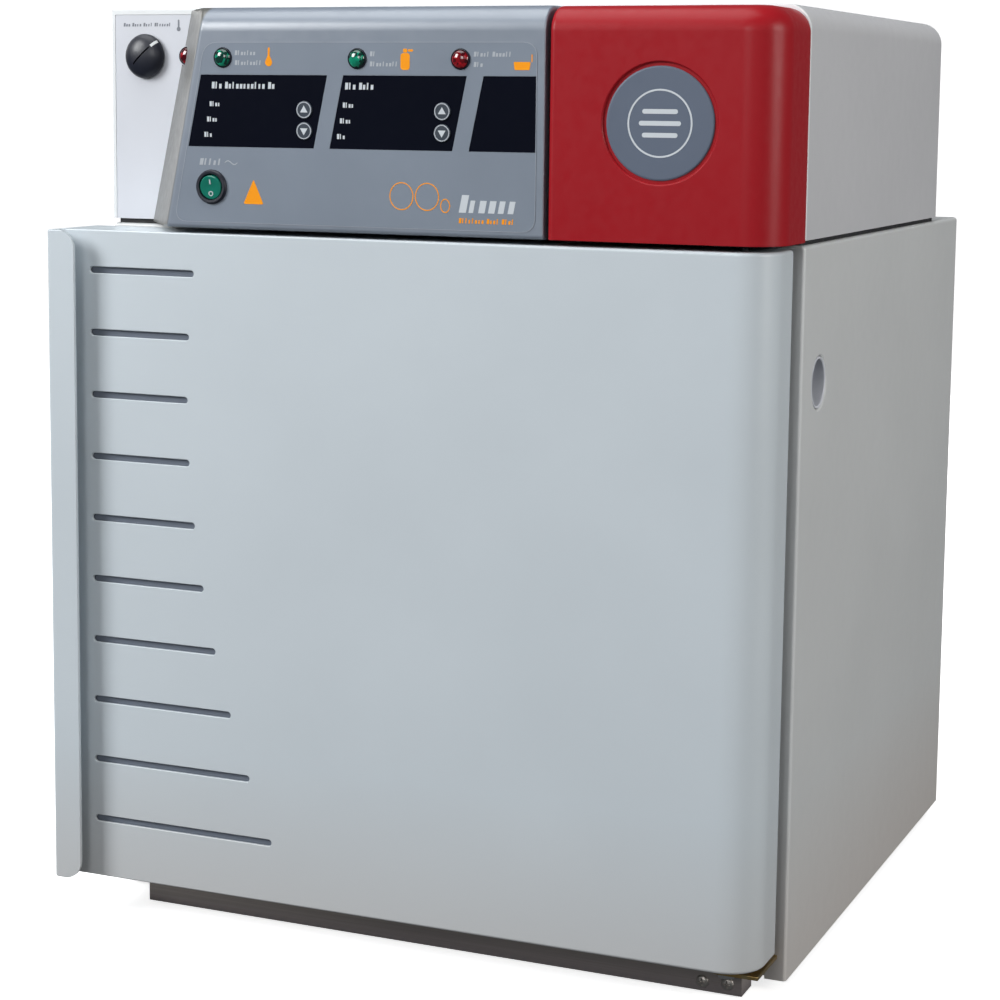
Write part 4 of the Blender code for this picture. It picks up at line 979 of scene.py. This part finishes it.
def make_head():
    depth = HEAD_HIGH.y
    section = [(1.4, 0.0), (0.45, 0.35), (0.0, 1.2), (0.0, depth - 6.0), (0.5, depth - 3.5)]
    section += [(1.7, depth - 1.8), (3.5, depth - 0.5), (6.0, depth)]
    cover = loft([placed(head_outline(inset), y) for inset, y in section])
    inside = prism(head_outline(SHEET), SHEET, depth - 3.4)
    floor = box((HEAD_LOW.x + SHEET, SHEET, 500), (-SHEET, depth - SHEET, 600))
    cutters = [inside, floor, prism(plate_outline(-0.12, 500), -1, 4)]
    for (x, z), radius in ((POWER_INLET, 15.0), (GAS_INLET, 6.6)):
        cutters.append(rod((x, depth - 9, z), (x, depth + 9, z), radius))
    cutters += vents((-330, 570), (34, 12), (6, 6), 26, depth - 6, depth + 6)
    piece("head_wrap", cover, HEAD_WHITE, "cabinet", "head_cover", cutters)
    # a black sheet behind the vents: painted shade for the dark inside
    piece("head_vent_shade_sheet", box((-345, depth - 8, 560), (-110, depth - 7, 645)), MATTE_BLACK)
    for i, x in enumerate((-545, -280, -14)):
        rear_screw(f"head_screw_{i}", x, depth, 548)
    low, high = near("head_tray")
    tray = box((low.x, low.y, high.z - SHEET), (high.x, high.y, high.z))
    piece("head_floor", tray, HEAD_WHITE, "cabinet", "head_tray", bevel=0.3)
    # A black foam seal under the head; its black also stands in for the shade in the gap.
    loops = []
    for inset, z in ((3.0, 530.05), (3.0, 533.4), (9.0, 533.4), (9.0, 530.05)):
        outline = rounded(HEAD_LOW.x + inset, -inset, inset - 0.5, depth - inset, 4, 4)
        loops.append(placed(outline, z, "Z"))
    piece("head_seal_and_gap_shade", loft(loops, closed=True), MATTE_BLACK)
    for i, x in enumerate((-504.0, -85.0)):
        for j, y in enumerate((8.0, 398.0)):
            profile = [(0, low.z), (4, low.z), (4.4, low.z + 0.5), (4.4, high.z - 1), (0, high.z - 1)]
            piece(f"head_spacer_{i}_{j}", turned(profile, (x, y, 0), "Z", 24), MATTE_BLACK)
    low, high = near("control_plate")
    plate = prism(plate_outline(0, low.z), low.y, high.y)
    holes = []
    for node, radius in (("limit_knob", 3.4), ("alarm_lamp", 7.5)):
        centre = middle(node)
        holes.append(rod((centre.x, -5, centre.z), (centre.x, 5, centre.z), radius))
    piece("front_plate", plate, WHITE, "cabinet", "control_plate", holes)
    make_rear_fittings(depth)


def make_rear_fittings(depth):
    x, z = POWER_INLET
    body = prism(rounded(x - 22, x + 22, z - 16, z + 16, 4), depth + 0.05, depth + 4)
    socket = [(-9.5, -6), (-9.5, 3), (-6, 6.5), (6, 6.5), (9.5, 3), (9.5, -6)]
    cutter = prism([(x + dx, z + dz) for dx, dz in socket], depth - 16, depth + 6)
    core = rod((x, depth - 26, z), (x, depth + 1, z), 14.6, 40)
    piece("inlet_housing", body, MATTE_BLACK, "cabinet", "power_inlet", [cutter], [core], bevel=0.4)
    for i, (dx, dz) in enumerate(((-5.5, -2.0), (5.5, -2.0), (0.0, 2.6))):
        low = (x + dx - 1, depth - 15, z + dz - 2.2)
        high = (x + dx + 1, depth + 0.5, z + dz + 2.2)
        piece(f"inlet_blade_{i}", box(low, high), BRIGHT, bevel=0.3)
    spot = (GAS_INLET[0], depth, GAS_INLET[1])
    profile = [(1.8, 26), (2.6, 26), (4.0, 22.5), (3.2, 22), (4.0, 18), (3.2, 17.6), (4.0, 13.5)]
    profile += [(3.4, 13), (4.0, 8.4), (4.0, -20), (1.8, -20)]
    piece("gas_barb", turned(profile, spot, "Y", 32, closed=True), BRASS, "cabinet", "gas_inlet")
    nut = turned([(4.0, 0.3), (9.6, 0.3), (10, 0.8), (10, 7.8), (9.4, 8.3), (4.0, 8.3)], spot, "Y", 6, True)
    piece("gas_nut", nut, BRASS)


# ---------------------------------------------------------------- control bezel


def bezel_left(y, z):
    """Where the bezel's leaning left wall stands at this depth and height."""
    up = (z - BEZEL_BASE) / (BEZEL_TOP - BEZEL_BASE)
    back = (y - FACE_Y) / (BEZEL_REAR - FACE_Y)
    face = FACE_LEFT[0] + (FACE_LEFT[1] - FACE_LEFT[0]) * up
    behind = REAR_LEFT[0] + (REAR_LEFT[1] - REAR_LEFT[0]) * up
    return face + (behind - face) * back


def bezel_solid(inset, rear):
    """The bezel between two copies of its side profile, of which the left one leans in."""
    front = FACE_Y + inset
    low = BEZEL_BASE + inset
    high = BEZEL_TOP - inset
    radius = ROUND - inset
    profile = [(rear, low), *arc((front + 3, low + 3), 3, 270, 180, 5)]
    profile += [*arc((front + radius, high - radius), radius, 180, 90, 18), (rear, high)]
    left = [(bezel_left(y, z) + inset, y, z) for y, z in profile]
    right = [(BEZEL_RIGHT - inset, y, z) for y, z in profile]
    return loft([left, right])


def window_outline(left, right, grow=0.0):
    lean = 0.0 if right > BEZEL_RIGHT - 10 else WINDOW_SLANT
    low = WINDOW_LOW - grow
    top = WINDOW_TOP + grow
    base = [(left - WINDOW_SLANT - grow, low), (right - lean + grow, low)]
    return [*base, (right + grow, top), (left - grow, top)]


def softened(outline, radius, steps=5):
    """The outline with every corner replaced by a curve of about this radius."""
    points = []
    count = len(outline)
    for i in range(count):
        here = Vector(outline[i])
        before = (Vector(outline[i - 1]) - here).normalized() * radius
        after = (Vector(outline[(i + 1) % count]) - here).normalized() * radius
        for k in range(steps + 1):
            t = k / steps
            spot = (here + before) * (1 - t) ** 2 + here * 2 * t * (1 - t) + (here + after) * t**2
            points.append((spot.x, spot.y))
    return points


LAMPS = {"lamp_heating": GREEN, "lamp_gas": GREEN, "lamp_water": RED_LENS}
KEYS = {"key_temperature_up": 1, "key_temperature_down": -1, "key_gas_up": 1, "key_gas_down": -1}
SWITCH = (-431.5, 562.6)


def bezel_holes():
    """The middle and the radius of each round hole in the face."""
    holes = []
    for names, radius in ((LAMPS, 7.5), (KEYS, 6.7)):
        for name in names:
            centre = middle(name)
            holes.append((centre.x, centre.z, radius))
    return [*holes, (*SWITCH, 11.4)]


def make_bezel():
    rear = near("grey_bezel")[1].y
    holes = bezel_holes()

    def bores(reach, below=BEZEL_TOP):
        return [rod((x, FACE_Y - 3, z), (x, FACE_Y + reach, z), r, 40) for x, z, r in holes if z < below]

    def openings(reach):
        return [prism(window_outline(*ends), FACE_Y - 3, FACE_Y + reach) for ends in WINDOWS.values()]

    alarm = middle("alarm_lamp")
    relief = rod((alarm.x, -20, alarm.z), (alarm.x, 5, alarm.z), 8.0, 40)
    cutters = [bezel_solid(2.5, rear + 3), relief, *openings(1.4), *bores(10)]
    body = bezel_solid(0, rear)
    made = piece("bezel_moulding", body, SLATE, "cabinet", "grey_bezel", cutters, bevel=2.2, segments=5)
    made.modifiers["edges"].limit_method = "WEIGHT"
    weigh_outer_edges(made, rear)
    frame_line = softened([(-463.6, 536.5), (-174.6, 536.5), (-174.6, 668.0), (-437.6, 668.0)], 11)
    film = prism(frame_line, FILM_FACE, FACE_Y + 0.3)
    piece("bezel_overlay", film, OVERLAY, cutters=[*openings(3), *bores(3)])
    # a lighter ring round the film's edge: a painted highlight
    inner_line = inset_outline(frame_line, [0.5] * len(frame_line))
    border = prism(frame_line, FILM_FACE - 0.1, FILM_FACE + 0.1)
    piece("bezel_film_edge_highlight", border, FILM_EDGE_HIGHLIGHT, cutters=[prism(inner_line, FACE_Y - 2, FACE_Y + 2)])
    for name, ends in WINDOWS.items():
        pane = prism(window_outline(*ends, -0.05), FACE_Y + 0.1, FACE_Y + 1.2)
        piece(f"{name}_pane", pane, WINDOW, "cabinet", name, bores(3, WINDOW_TOP))


def weigh_outer_edges(made, rear):
    """Marks the bezel's long outer edges, at its left and right ends, for rounding."""
    weights = made.data.attributes.new("bevel_weight_edge", "FLOAT", "EDGE")
    verts = made.data.vertices

    def outer(vert):
        """1 on the left wall, -1 on the right one and 0 elsewhere."""
        x, y, z = (vert.co - PLACE) / MM
        on_skin = y < rear - 0.5 and BEZEL_BASE - 0.1 < z < BEZEL_TOP + 0.1
        left = abs(x - bezel_left(y, z)) < 0.05
        right = abs(x - BEZEL_RIGHT) < 0.05
        return (left - right) if on_skin else 0

    sides = [outer(vert) for vert in verts]
    for edge in made.data.edges:
        first, second = edge.vertices
        if not sides[first] or sides[first] != sides[second]:
            continue
        if abs(verts[first].co.z - verts[second].co.z) > 0.1 or verts[first].co.y != verts[second].co.y:
            weights.data[edge.index].value = 1.0 if sides[first] > 0 else 0.5


def mark(name, outline, finish, face=FILM_FACE):
    """A flat printed mark on the bezel's film, or on another plane."""
    piece(name, prism(outline, face - 0.12, face + 0.05), finish)


def mock_text(name, x, z, words, size, finish, face=FILM_FACE, slant=0.0, wide=0.6):
    """A line of plain blocks of letter size, word by word, where a label would be. It holds no letters."""
    shape = bmesh.new()
    step = size * wide
    beat = len(name)
    for count in words:
        for i in range(count):
            beat = (beat * 7 + 3 * i + 5) % 31
            tall = size if i == 0 or beat % 4 == 0 else size * 0.7
            width = step * (0.74 if i == 0 else (0.34, 0.58, 0.66, 0.48)[beat % 4])
            lean = slant * tall
            corners = [(x, z), (x + width, z), (x + width + lean, z + tall), (x + lean, z + tall)]
            block = [[shape.verts.new((px, y, pz)) for px, pz in corners] for y in (face - 0.1, face + 0.05)]
            shape.faces.new(block[0])
            shape.faces.new(block[1][::-1])
            bridge(shape, block)
            x += step
        x += step * 0.6
    piece(name, shape, finish)


def make_lamps():
    for name, finish in {**LAMPS, "alarm_lamp": RED_LENS}.items():
        centre = middle(name)
        face = FACE_Y if name != "alarm_lamp" else 0.0
        cap = dome(6.4, 3.4, range(10, 91, 10), 0.6)
        shape = turned([*cap, (6.4, -4.5), (0, -4.5)], (centre.x, face, centre.z), "-Y", 48)
        piece(f"{name}_lens", shape, finish, "cabinet", name)
        ring = [(6.45, 0.0), (6.5, 0.9), (6.75, 1.3), (7.1, 1.0), (7.25, 0.2), (7.25, -3.0), (6.45, -3.0)]
        rim = turned(ring, (centre.x, face - PROUD, centre.z), "-Y", 48, closed=True)
        piece(f"{name}_rim", rim, BLACK)


def make_keys():
    for name, way in KEYS.items():
        front = near(name)[0].y
        centre = middle(name)
        spot = (centre.x, front, centre.z)
        piece(f"{name}_cap", turned(soft_disc(6.4, 0.0, -8.0, 0.7), spot), KEY_BLUE, name, name)
        ring = turned([(5.1, 0.12), (5.9, 0.12), (5.9, -0.3), (5.1, -0.3)], spot, closed=True)
        piece(f"{name}_ring", ring, DIM_MARK, name)
        tip = 3.1 * way
        base = centre.z - tip * 0.6
        outline = [(centre.x - 3.0, base), (centre.x + 3.0, base), (centre.x, centre.z + tip)][::way]
        piece(f"{name}_arrow", prism(outline, front - 0.12, front + 0.1), MARK, name)


def make_switch():
    x, z = SWITCH
    ring = [(9.5, 1.6), (9.9, 2.2), (11.4, 2.3), (12.3, 1.7), (12.7, 0.8), (12.7, 0.05)]
    ring += [(11, 0.05), (11, -14), (9.5, -14)]
    bezel = turned(ring, (x, FILM_FACE, z), "-Y", 64, True)
    piece("switch_ring", bezel, BLACK, "cabinet", "switch_bezel")
    centre = Vector((x, FACE_Y + 1, z))
    tilt = Matrix.Rotation(math.radians(10), 4, "X")
    turn = Matrix.Translation(centre) @ tilt @ Matrix.Translation(-centre)
    profile = [(0, 3.1), (4, 3.3), (7, 3.7), (8.3, 3.6), (8.9, 2.9), (8.9, -3.4), (0, -3.4)]
    body = turned(profile, centre, "-Y", 56)
    piece("rocker_cap", swung(body, turn), GREEN_ROCKER, "power_rocker", "power_rocker")
    stroke = box((x - 0.45, centre.y - 3.75, z + 2.6), (x + 0.45, centre.y - 3.2, z + 6.2))
    piece("rocker_on_mark", swung(stroke, turn), MARK, "power_rocker")
    spot = Vector((x, centre.y, z - 4.4))
    loop = turned([(1.2, 3.72), (1.9, 3.72), (1.9, 3.0), (1.2, 3.0)], spot, "-Y", 24, True)
    piece("rocker_off_mark", swung(loop, turn), MARK, "power_rocker")


def make_lamp_labels():
    labels = {"lamp_heating": ((7,), (9,)), "lamp_gas": ((2,), (9,)), "lamp_water": ((5, 6), (3,))}
    for i, (node, lines) in enumerate(labels.items()):
        centre = middle(node)
        for suffix, words, drop in zip("ab", lines, (-1.8, 5.3)):
            place = (centre.x + 10, centre.z - drop)
            mock_text(f"lamp_label_{i}_{suffix}", *place, words, 3.4, DIM_MARK, slant=0.1, wide=0.74)


def make_window_text():
    face = FACE_Y + 0.1
    rows = {"window_left": (9.0, (3, 11, 2)), "window_middle": (1.5, (3, 4))}
    for i, (name, (indent, title)) in enumerate(rows.items()):
        start = WINDOWS[name][0] + indent
        mock_text(f"window_title_{i}", start, 634.4, title, 4.8, MARK, face, 0.06, 0.64)
        for j, count in enumerate((4, 4, 3)):
            place = (start - 1.7 - 2.3 * j, 621.5 - 11.2 * j)
            mock_text(f"window_row_{i}_{j}", *place, (count,), 3.6, MARK, face, wide=0.64)


def make_power_marks():
    mock_text("power_label", -441.8, 578.6, (5,), 4.8, DIM_MARK, slant=0.2, wide=0.8)
    wave = [(t / 24 * 10.5, 1.3 * math.sin(t / 24 * 2 * math.pi)) for t in range(25)]
    upper, lower = ([(-420.5 + a, 580.6 + b + half) for a, b in wave] for half in (0.35, -0.35))
    mark("power_wave", lower + upper[::-1], DIM_MARK)
    mark("orange_triangle", softened([(-405.0, 550.8), (-388.4, 550.8), (-396.6, 568.8)], 1.4), ORANGE)


def make_signs():
    """The flame, the bottle with its valve, and the tray with its dipper, beside the lamps."""
    x, z = -384.0, 656.6
    flame = [(x + 0.9, z + 7.0), (x + 0.3, z + 7.6), (x - 0.6, z + 7.0), (x - 0.8, z + 1.5)]
    flame += arc((x, z - 3.2), 2.9, 150, 390, 14) + [(x + 0.9, z + 1.5)]
    mark("flame_sign", flame, ORANGE)
    x, z = -275.0, 655.6
    mark("bottle_sign", rounded(x - 3.6, x + 3.6, z - 7.2, z + 4.6, 2.2, 4), ORANGE)
    mark("bottle_neck", rounded(x - 1.6, x + 1.6, z + 5.0, z + 7.6, 0.6, 3), ORANGE)
    mark("bottle_valve", rounded(x + 2.2, x + 6.0, z + 5.6, z + 7.2, 0.5, 3), ORANGE)
    x, z = -185.8, 652.0
    tray = [(x - 5.6, z - 3.4), (x + 5.6, z - 3.4), (x + 6.4, z + 2.2), (x - 6.4, z + 2.2)]
    mark("water_sign", softened(tray, 1.0), ORANGE)
    mark("water_dipper", rounded(x + 6.9, x + 7.7, z + 2.0, z + 7.4, 0.35, 3), ORANGE)


def make_series_marks():
    """Three plain rings and two lines of blocks where the product's title would be."""
    rings = ((-277.3, 559.6, 9.4, 9.9), (-257.3, 559.6, 9.4, 9.9), (-243.2, 553.6, 3.8, 5.0))
    turns = [2 * math.pi * k / 40 for k in range(40)]
    for i, (x, z, half, tall) in enumerate(rings):
        oval = [(x + half * math.cos(t), z + tall * math.sin(t)) for t in turns]
        hollow = prism(inset_outline(oval, [0.7] * len(oval)), FACE_Y - 2, FACE_Y + 2)
        piece(f"series_ring_{i}", prism(oval, FILM_FACE - 0.12, FILM_FACE + 0.05), ORANGE, cutters=[hollow])
    mock_text("series_light", -232.7, 549.2, (6,), 12.4, MARK, slant=0.2)
    mock_text("series_line", -232.6, 541.8, (8, 4, 4), 3.6, ORANGE, slant=0.1, wide=0.69)


def make_plate_labels():
    mock_text("knob_label", -548.2, 681.7, (3, 4, 4, 7), 2.7, DARK_MARK, PLATE_FACE, 0.1, 0.8)
    x, z = -499.1, 682.2
    mark("thermometer_tube", rounded(x - 0.7, x + 0.7, z - 1.4, z + 4.6, 0.6, 3), DARK_MARK, PLATE_FACE)
    mark("thermometer_bulb", arc((x, z - 2.6), 1.7, 0, 350, 18), DARK_MARK, PLATE_FACE)


# ---------------------------------------------------------------- knob


KNOB_R = 17.0
KNOB_SETTING = -43  # degrees from the tick pointing right


def dome_height(r):
    return 1.8 + 8.2 * math.sqrt(max(0.0, 1 - (r / KNOB_R) ** 2))


def make_knob():
    """A black dome with a screwdriver's groove across it and a white tick that runs down to its rim."""
    centre = middle("limit_knob")
    x, z = centre.x, centre.z
    profile = []
    for i in range(20):
        r = KNOB_R * math.sin(math.pi / 2 * i / 20)
        profile.append((r, dome_height(r) - 0.02))
    profile += [(16.98, 2.6), (17.0, 1.8), (16.6, 1.05), (0, 1.05)]
    body = turned(profile, (x, 0, z), "-Y", 96)
    turn = Matrix.Translation((x, 0, z)) @ Matrix.Rotation(math.radians(KNOB_SETTING), 4, "Y")
    groove = [box((-8.6, -14, -0.65), (9.4, -7.0, 0.65))]
    groove += [rod((reach, -14, 0), (reach, -7.0, 0), 0.65, 12) for reach in (-8.6, 9.4)]
    cutters = [swung(shape, turn) for shape in groove]
    shaft = rod((x, -3, z), (x, 4, z), 3.0, 24)
    piece("knob_body", body, BLACK, "limit_knob", "limit_knob", cutters, [shaft])
    loops = []
    for i in range(9):
        r = 11.4 + 5.2 * i / 8
        top, base = -dome_height(r) - 0.02, -dome_height(r) + 0.6
        loops.append([(r, top, -1.15), (r, top, 1.15), (r, base, 1.15), (r, base, -1.15)])
    piece("knob_tick", swung(loft(loops), turn), KNOB_WHITE, "limit_knob")


# ---------------------------------------------------------------- red end cap


BADGE_CENTRE = (-85.1, 613.4)


def make_red_cap():
    low, high = CAP_LOW, CAP_HIGH
    shape = box(low, high)
    round_picked(shape, CORNER, 28,
                 lambda mid, along: abs(along.z) > 0.9 and mid.x > high.x - 1 and mid.y < low.y + 1)
    round_picked(shape, ROUND, 18,
                 lambda mid, along: mid.z > high.z - 0.01 and abs(along.z) < 0.1 and mid.y < high.y - 0.5
                 and mid.x > low.x + 0.5)
    round_picked(shape, 4.5, 6,
                 lambda mid, along: mid.x < low.x + 0.01 and mid.y < high.y - 0.01 and mid.z > low.z + 0.01)
    x, z = BADGE_CENTRE
    rim = arc((43.2, -2.0), 2.2, 90, 180, 6)
    pocket = turned([(0, 3), (43.2, 3), *rim, (41.0, -2.0), (0, -2.0)], (x, low.y, z), "-Y", 96)
    plan = [(low.x + 2.5, high.y + 5), (low.x + 2.5, low.y + 4.5), (high.x - CORNER, low.y + 4.5)]
    plan += arc((high.x - CORNER, low.y + CORNER), CORNER - 4.5, 270, 360, 12)[1:]
    plan.append((high.x - 4.5, high.y + 5))
    room = prism(plan, low.z + 2.5, high.z - 12, "Z")
    piece("cap_moulding", shape, RED, "cabinet", "red_end_cap", [pocket, room])


def make_badge():
    """A plain ring with three bars on a grey disc."""
    x, z = BADGE_CENTRE
    floor = CAP_LOW.y + 2.0
    disc = [(0, 1.2), (37.2, 1.2), (38.2, 1.0), (38.75, 0.5), (38.75, 0.05), (0, 0.05)]
    piece("badge_plate", turned(disc, (x, floor, z), "-Y", 96), BADGE, "cabinet", "badge_disc")
    top = floor - 1.2
    wide = turned([(22.0, 0.14), (23.2, 0.14), (23.2, -0.3), (22.0, -0.3)], (x, top, z), "-Y", 72, True)
    piece("badge_ring", wide, MARK)
    for i, dz in enumerate((8.0, 0.0, -8.0)):
        half = math.sqrt(15.0**2 - dz**2)
        mark(f"badge_bar_{i}", rounded(x - half, x + half, z + dz - 1.6, z + dz + 1.6, 1.5, 4), MARK, top)


# ---------------------------------------------------------------- inner parts, light, camera


def finish_hidden():
    kept = {
        "water_jacket": GALVANISED,
        "insulation": FOAM,
        "jacket_heater": RUBBER,
        "base_pan": GALVANISED,
        "thermostat_body": MATTE_BLACK,
        "transformer": GALVANISED,
        "gas_valve": BRASS,
        "control_board": BOARD,
    }
    for name, finish in kept.items():
        give(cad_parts[name], finish)


def area_light(name, spot, aim, size, power, colour):
    data = bpy.data.lights.new(name, "AREA")
    data.shape = "RECTANGLE"
    data.size, data.size_y = size
    data.energy = power
    data.color = colour
    made = bpy.data.objects.new(name, data)
    bpy.context.scene.collection.objects.link(made)
    made.location = spot
    made.rotation_mode = "QUATERNION"
    made.rotation_quaternion = (Vector(aim) - Vector(spot)).to_track_quat("-Z", "Y")


def stage_piece(name, shape, finish):
    mesh = bpy.data.meshes.new(name)
    shape.to_mesh(mesh)
    shape.free()
    mesh.materials.append(finish)
    made = bpy.data.objects.new(name, mesh)
    bpy.context.scene.collection.objects.link(made)
    made.visible_diffuse = False
    made.visible_glossy = False


def pale(recipe, glow):
    """An uneven white that also gives off this much light."""
    tone = recipe.mix(recipe.noise(0.8, 2.0), (0.86, 0.86, 0.86, 1.0), (0.90, 0.90, 0.90, 1.0))
    return recipe.use(Base_Color=tone, Roughness=0.9, Specular_IOR_Level=0.1,
                      Emission_Color=(1.0, 1.0, 1.0, 1.0), Emission_Strength=glow)


def make_stage():
    """A pale round floor that brightens outwards into a white backdrop with a lid."""
    ring = arc((0.0, 0.0), 12.0, 0, 356.25, 95)
    recipe = Recipe("pale_floor")
    away = recipe.node("ShaderNodeVectorMath", {0: recipe.place}, operation="LENGTH").outputs["Value"]
    floor = bmesh.new()
    floor.faces.new([floor.verts.new((x, y, 0.0)) for x, y in ring])
    stage_piece("floor", floor, pale(recipe, recipe.between(away, 0.7, 1.0, 0.5, 2.0)))
    wall = bmesh.new()
    levels = [[wall.verts.new((x, y, z)) for x, y in ring] for z in (0.0, 9.0)]
    bridge(wall, levels)
    wall.faces.new(levels[1])
    stage_piece("backdrop", wall, pale(Recipe("backdrop_white"), 1.0))


LIGHTS = {  # place, width and height, power and colour
    "key": ((-2.2, -2.3, 1.95), (1.4, 1.4), 91.0, (0.985, 0.995, 1.0)),
    "front": ((0.2, -3.1, 1.3), (0.9, 0.9), 16.0, (1.0, 1.0, 1.0)),
    "corner": ((1.6, -2.6, 1.4), (1.4, 1.4), 5.0, (1.0, 0.99, 0.97)),
    "side": ((2.8, -0.4, 1.2), (1.2, 1.2), 42.0, (1.0, 0.985, 0.955)),
    "top": ((-0.5, -0.5, 2.6), (2.2, 1.6), 34.0, (0.97, 0.99, 1.0)),
    "left": ((-2.8, 0.9, 1.3), (1.2, 1.2), 13.0, (1.0, 0.99, 0.97)),
    "rear": ((0.4, 3.0, 1.6), (1.4, 1.4), 40.0, (1.0, 1.0, 1.0)),
}


def make_lights():
    """Soft boxes all round. The rear one leaves no glint on the control box's top."""
    for name, (spot, size, power, colour) in LIGHTS.items():
        area_light(name, spot, (0.0, 0.0, 0.35), size, power, colour)
    bpy.data.objects["rear"].visible_glossy = False
    bpy.context.scene.view_settings.view_transform = "Standard"


def make_world():
    """A dim, plain room."""
    world = bpy.data.worlds.new("studio")
    bpy.context.scene.world = world
    world.use_nodes = True
    sky = world.node_tree.nodes["Background"]
    sky.inputs["Color"].default_value = (0.92, 0.96, 1.0, 1.0)
    sky.inputs["Strength"].default_value = 0.1


CAMERA_SPOT = Vector((439.7, -1584.4, 626.8))
CAMERA_TURN = (23.26, 7.284, 0.589)  # degrees round to the right, looking down, and rolled


def make_camera():
    yaw, pitch, roll = (math.radians(angle) for angle in CAMERA_TURN)
    back = Vector((math.sin(yaw) * math.cos(pitch), -math.cos(yaw) * math.cos(pitch), math.sin(pitch)))
    level = Vector((math.cos(yaw), math.sin(yaw), 0.0))
    up = back.cross(level)
    right = level * math.cos(roll) + up * math.sin(roll)
    upward = up * math.cos(roll) - level * math.sin(roll)
    data = bpy.data.cameras.new("camera")
    data.lens = 84.74
    data.sensor_width = 36.0
    data.shift_x = 0.0165
    data.shift_y = -0.0975
    made = bpy.data.objects.new("camera", data)
    bpy.context.scene.collection.objects.link(made)
    axes = Matrix((right, upward, back)).transposed().to_4x4()
    made.matrix_world = Matrix.Translation(PLACE + CAMERA_SPOT * MM) @ axes
    bpy.context.scene.camera = made


make_camera()
make_stage()
make_world()
make_lights()
make_door()
make_door_inside()
make_case()
make_front_frame()
make_rear_cover()
make_feet()
make_sill()
make_hinges()
make_fill_cap()
make_chamber()
for rack_side in ("left", "right"):
    make_rack(rack_side)
for shelf_node in ("shelf_lower", "shelf_middle", "shelf_upper"):
    make_shelf(shelf_node)
make_water_tray()
make_glass_door()
make_latch()
make_head()
make_bezel()
make_lamps()
make_keys()
make_switch()
make_lamp_labels()
make_window_text()
make_power_marks()
make_signs()
make_series_marks()
make_plate_labels()
make_knob()
make_red_cap()
make_badge()
finish_hidden()
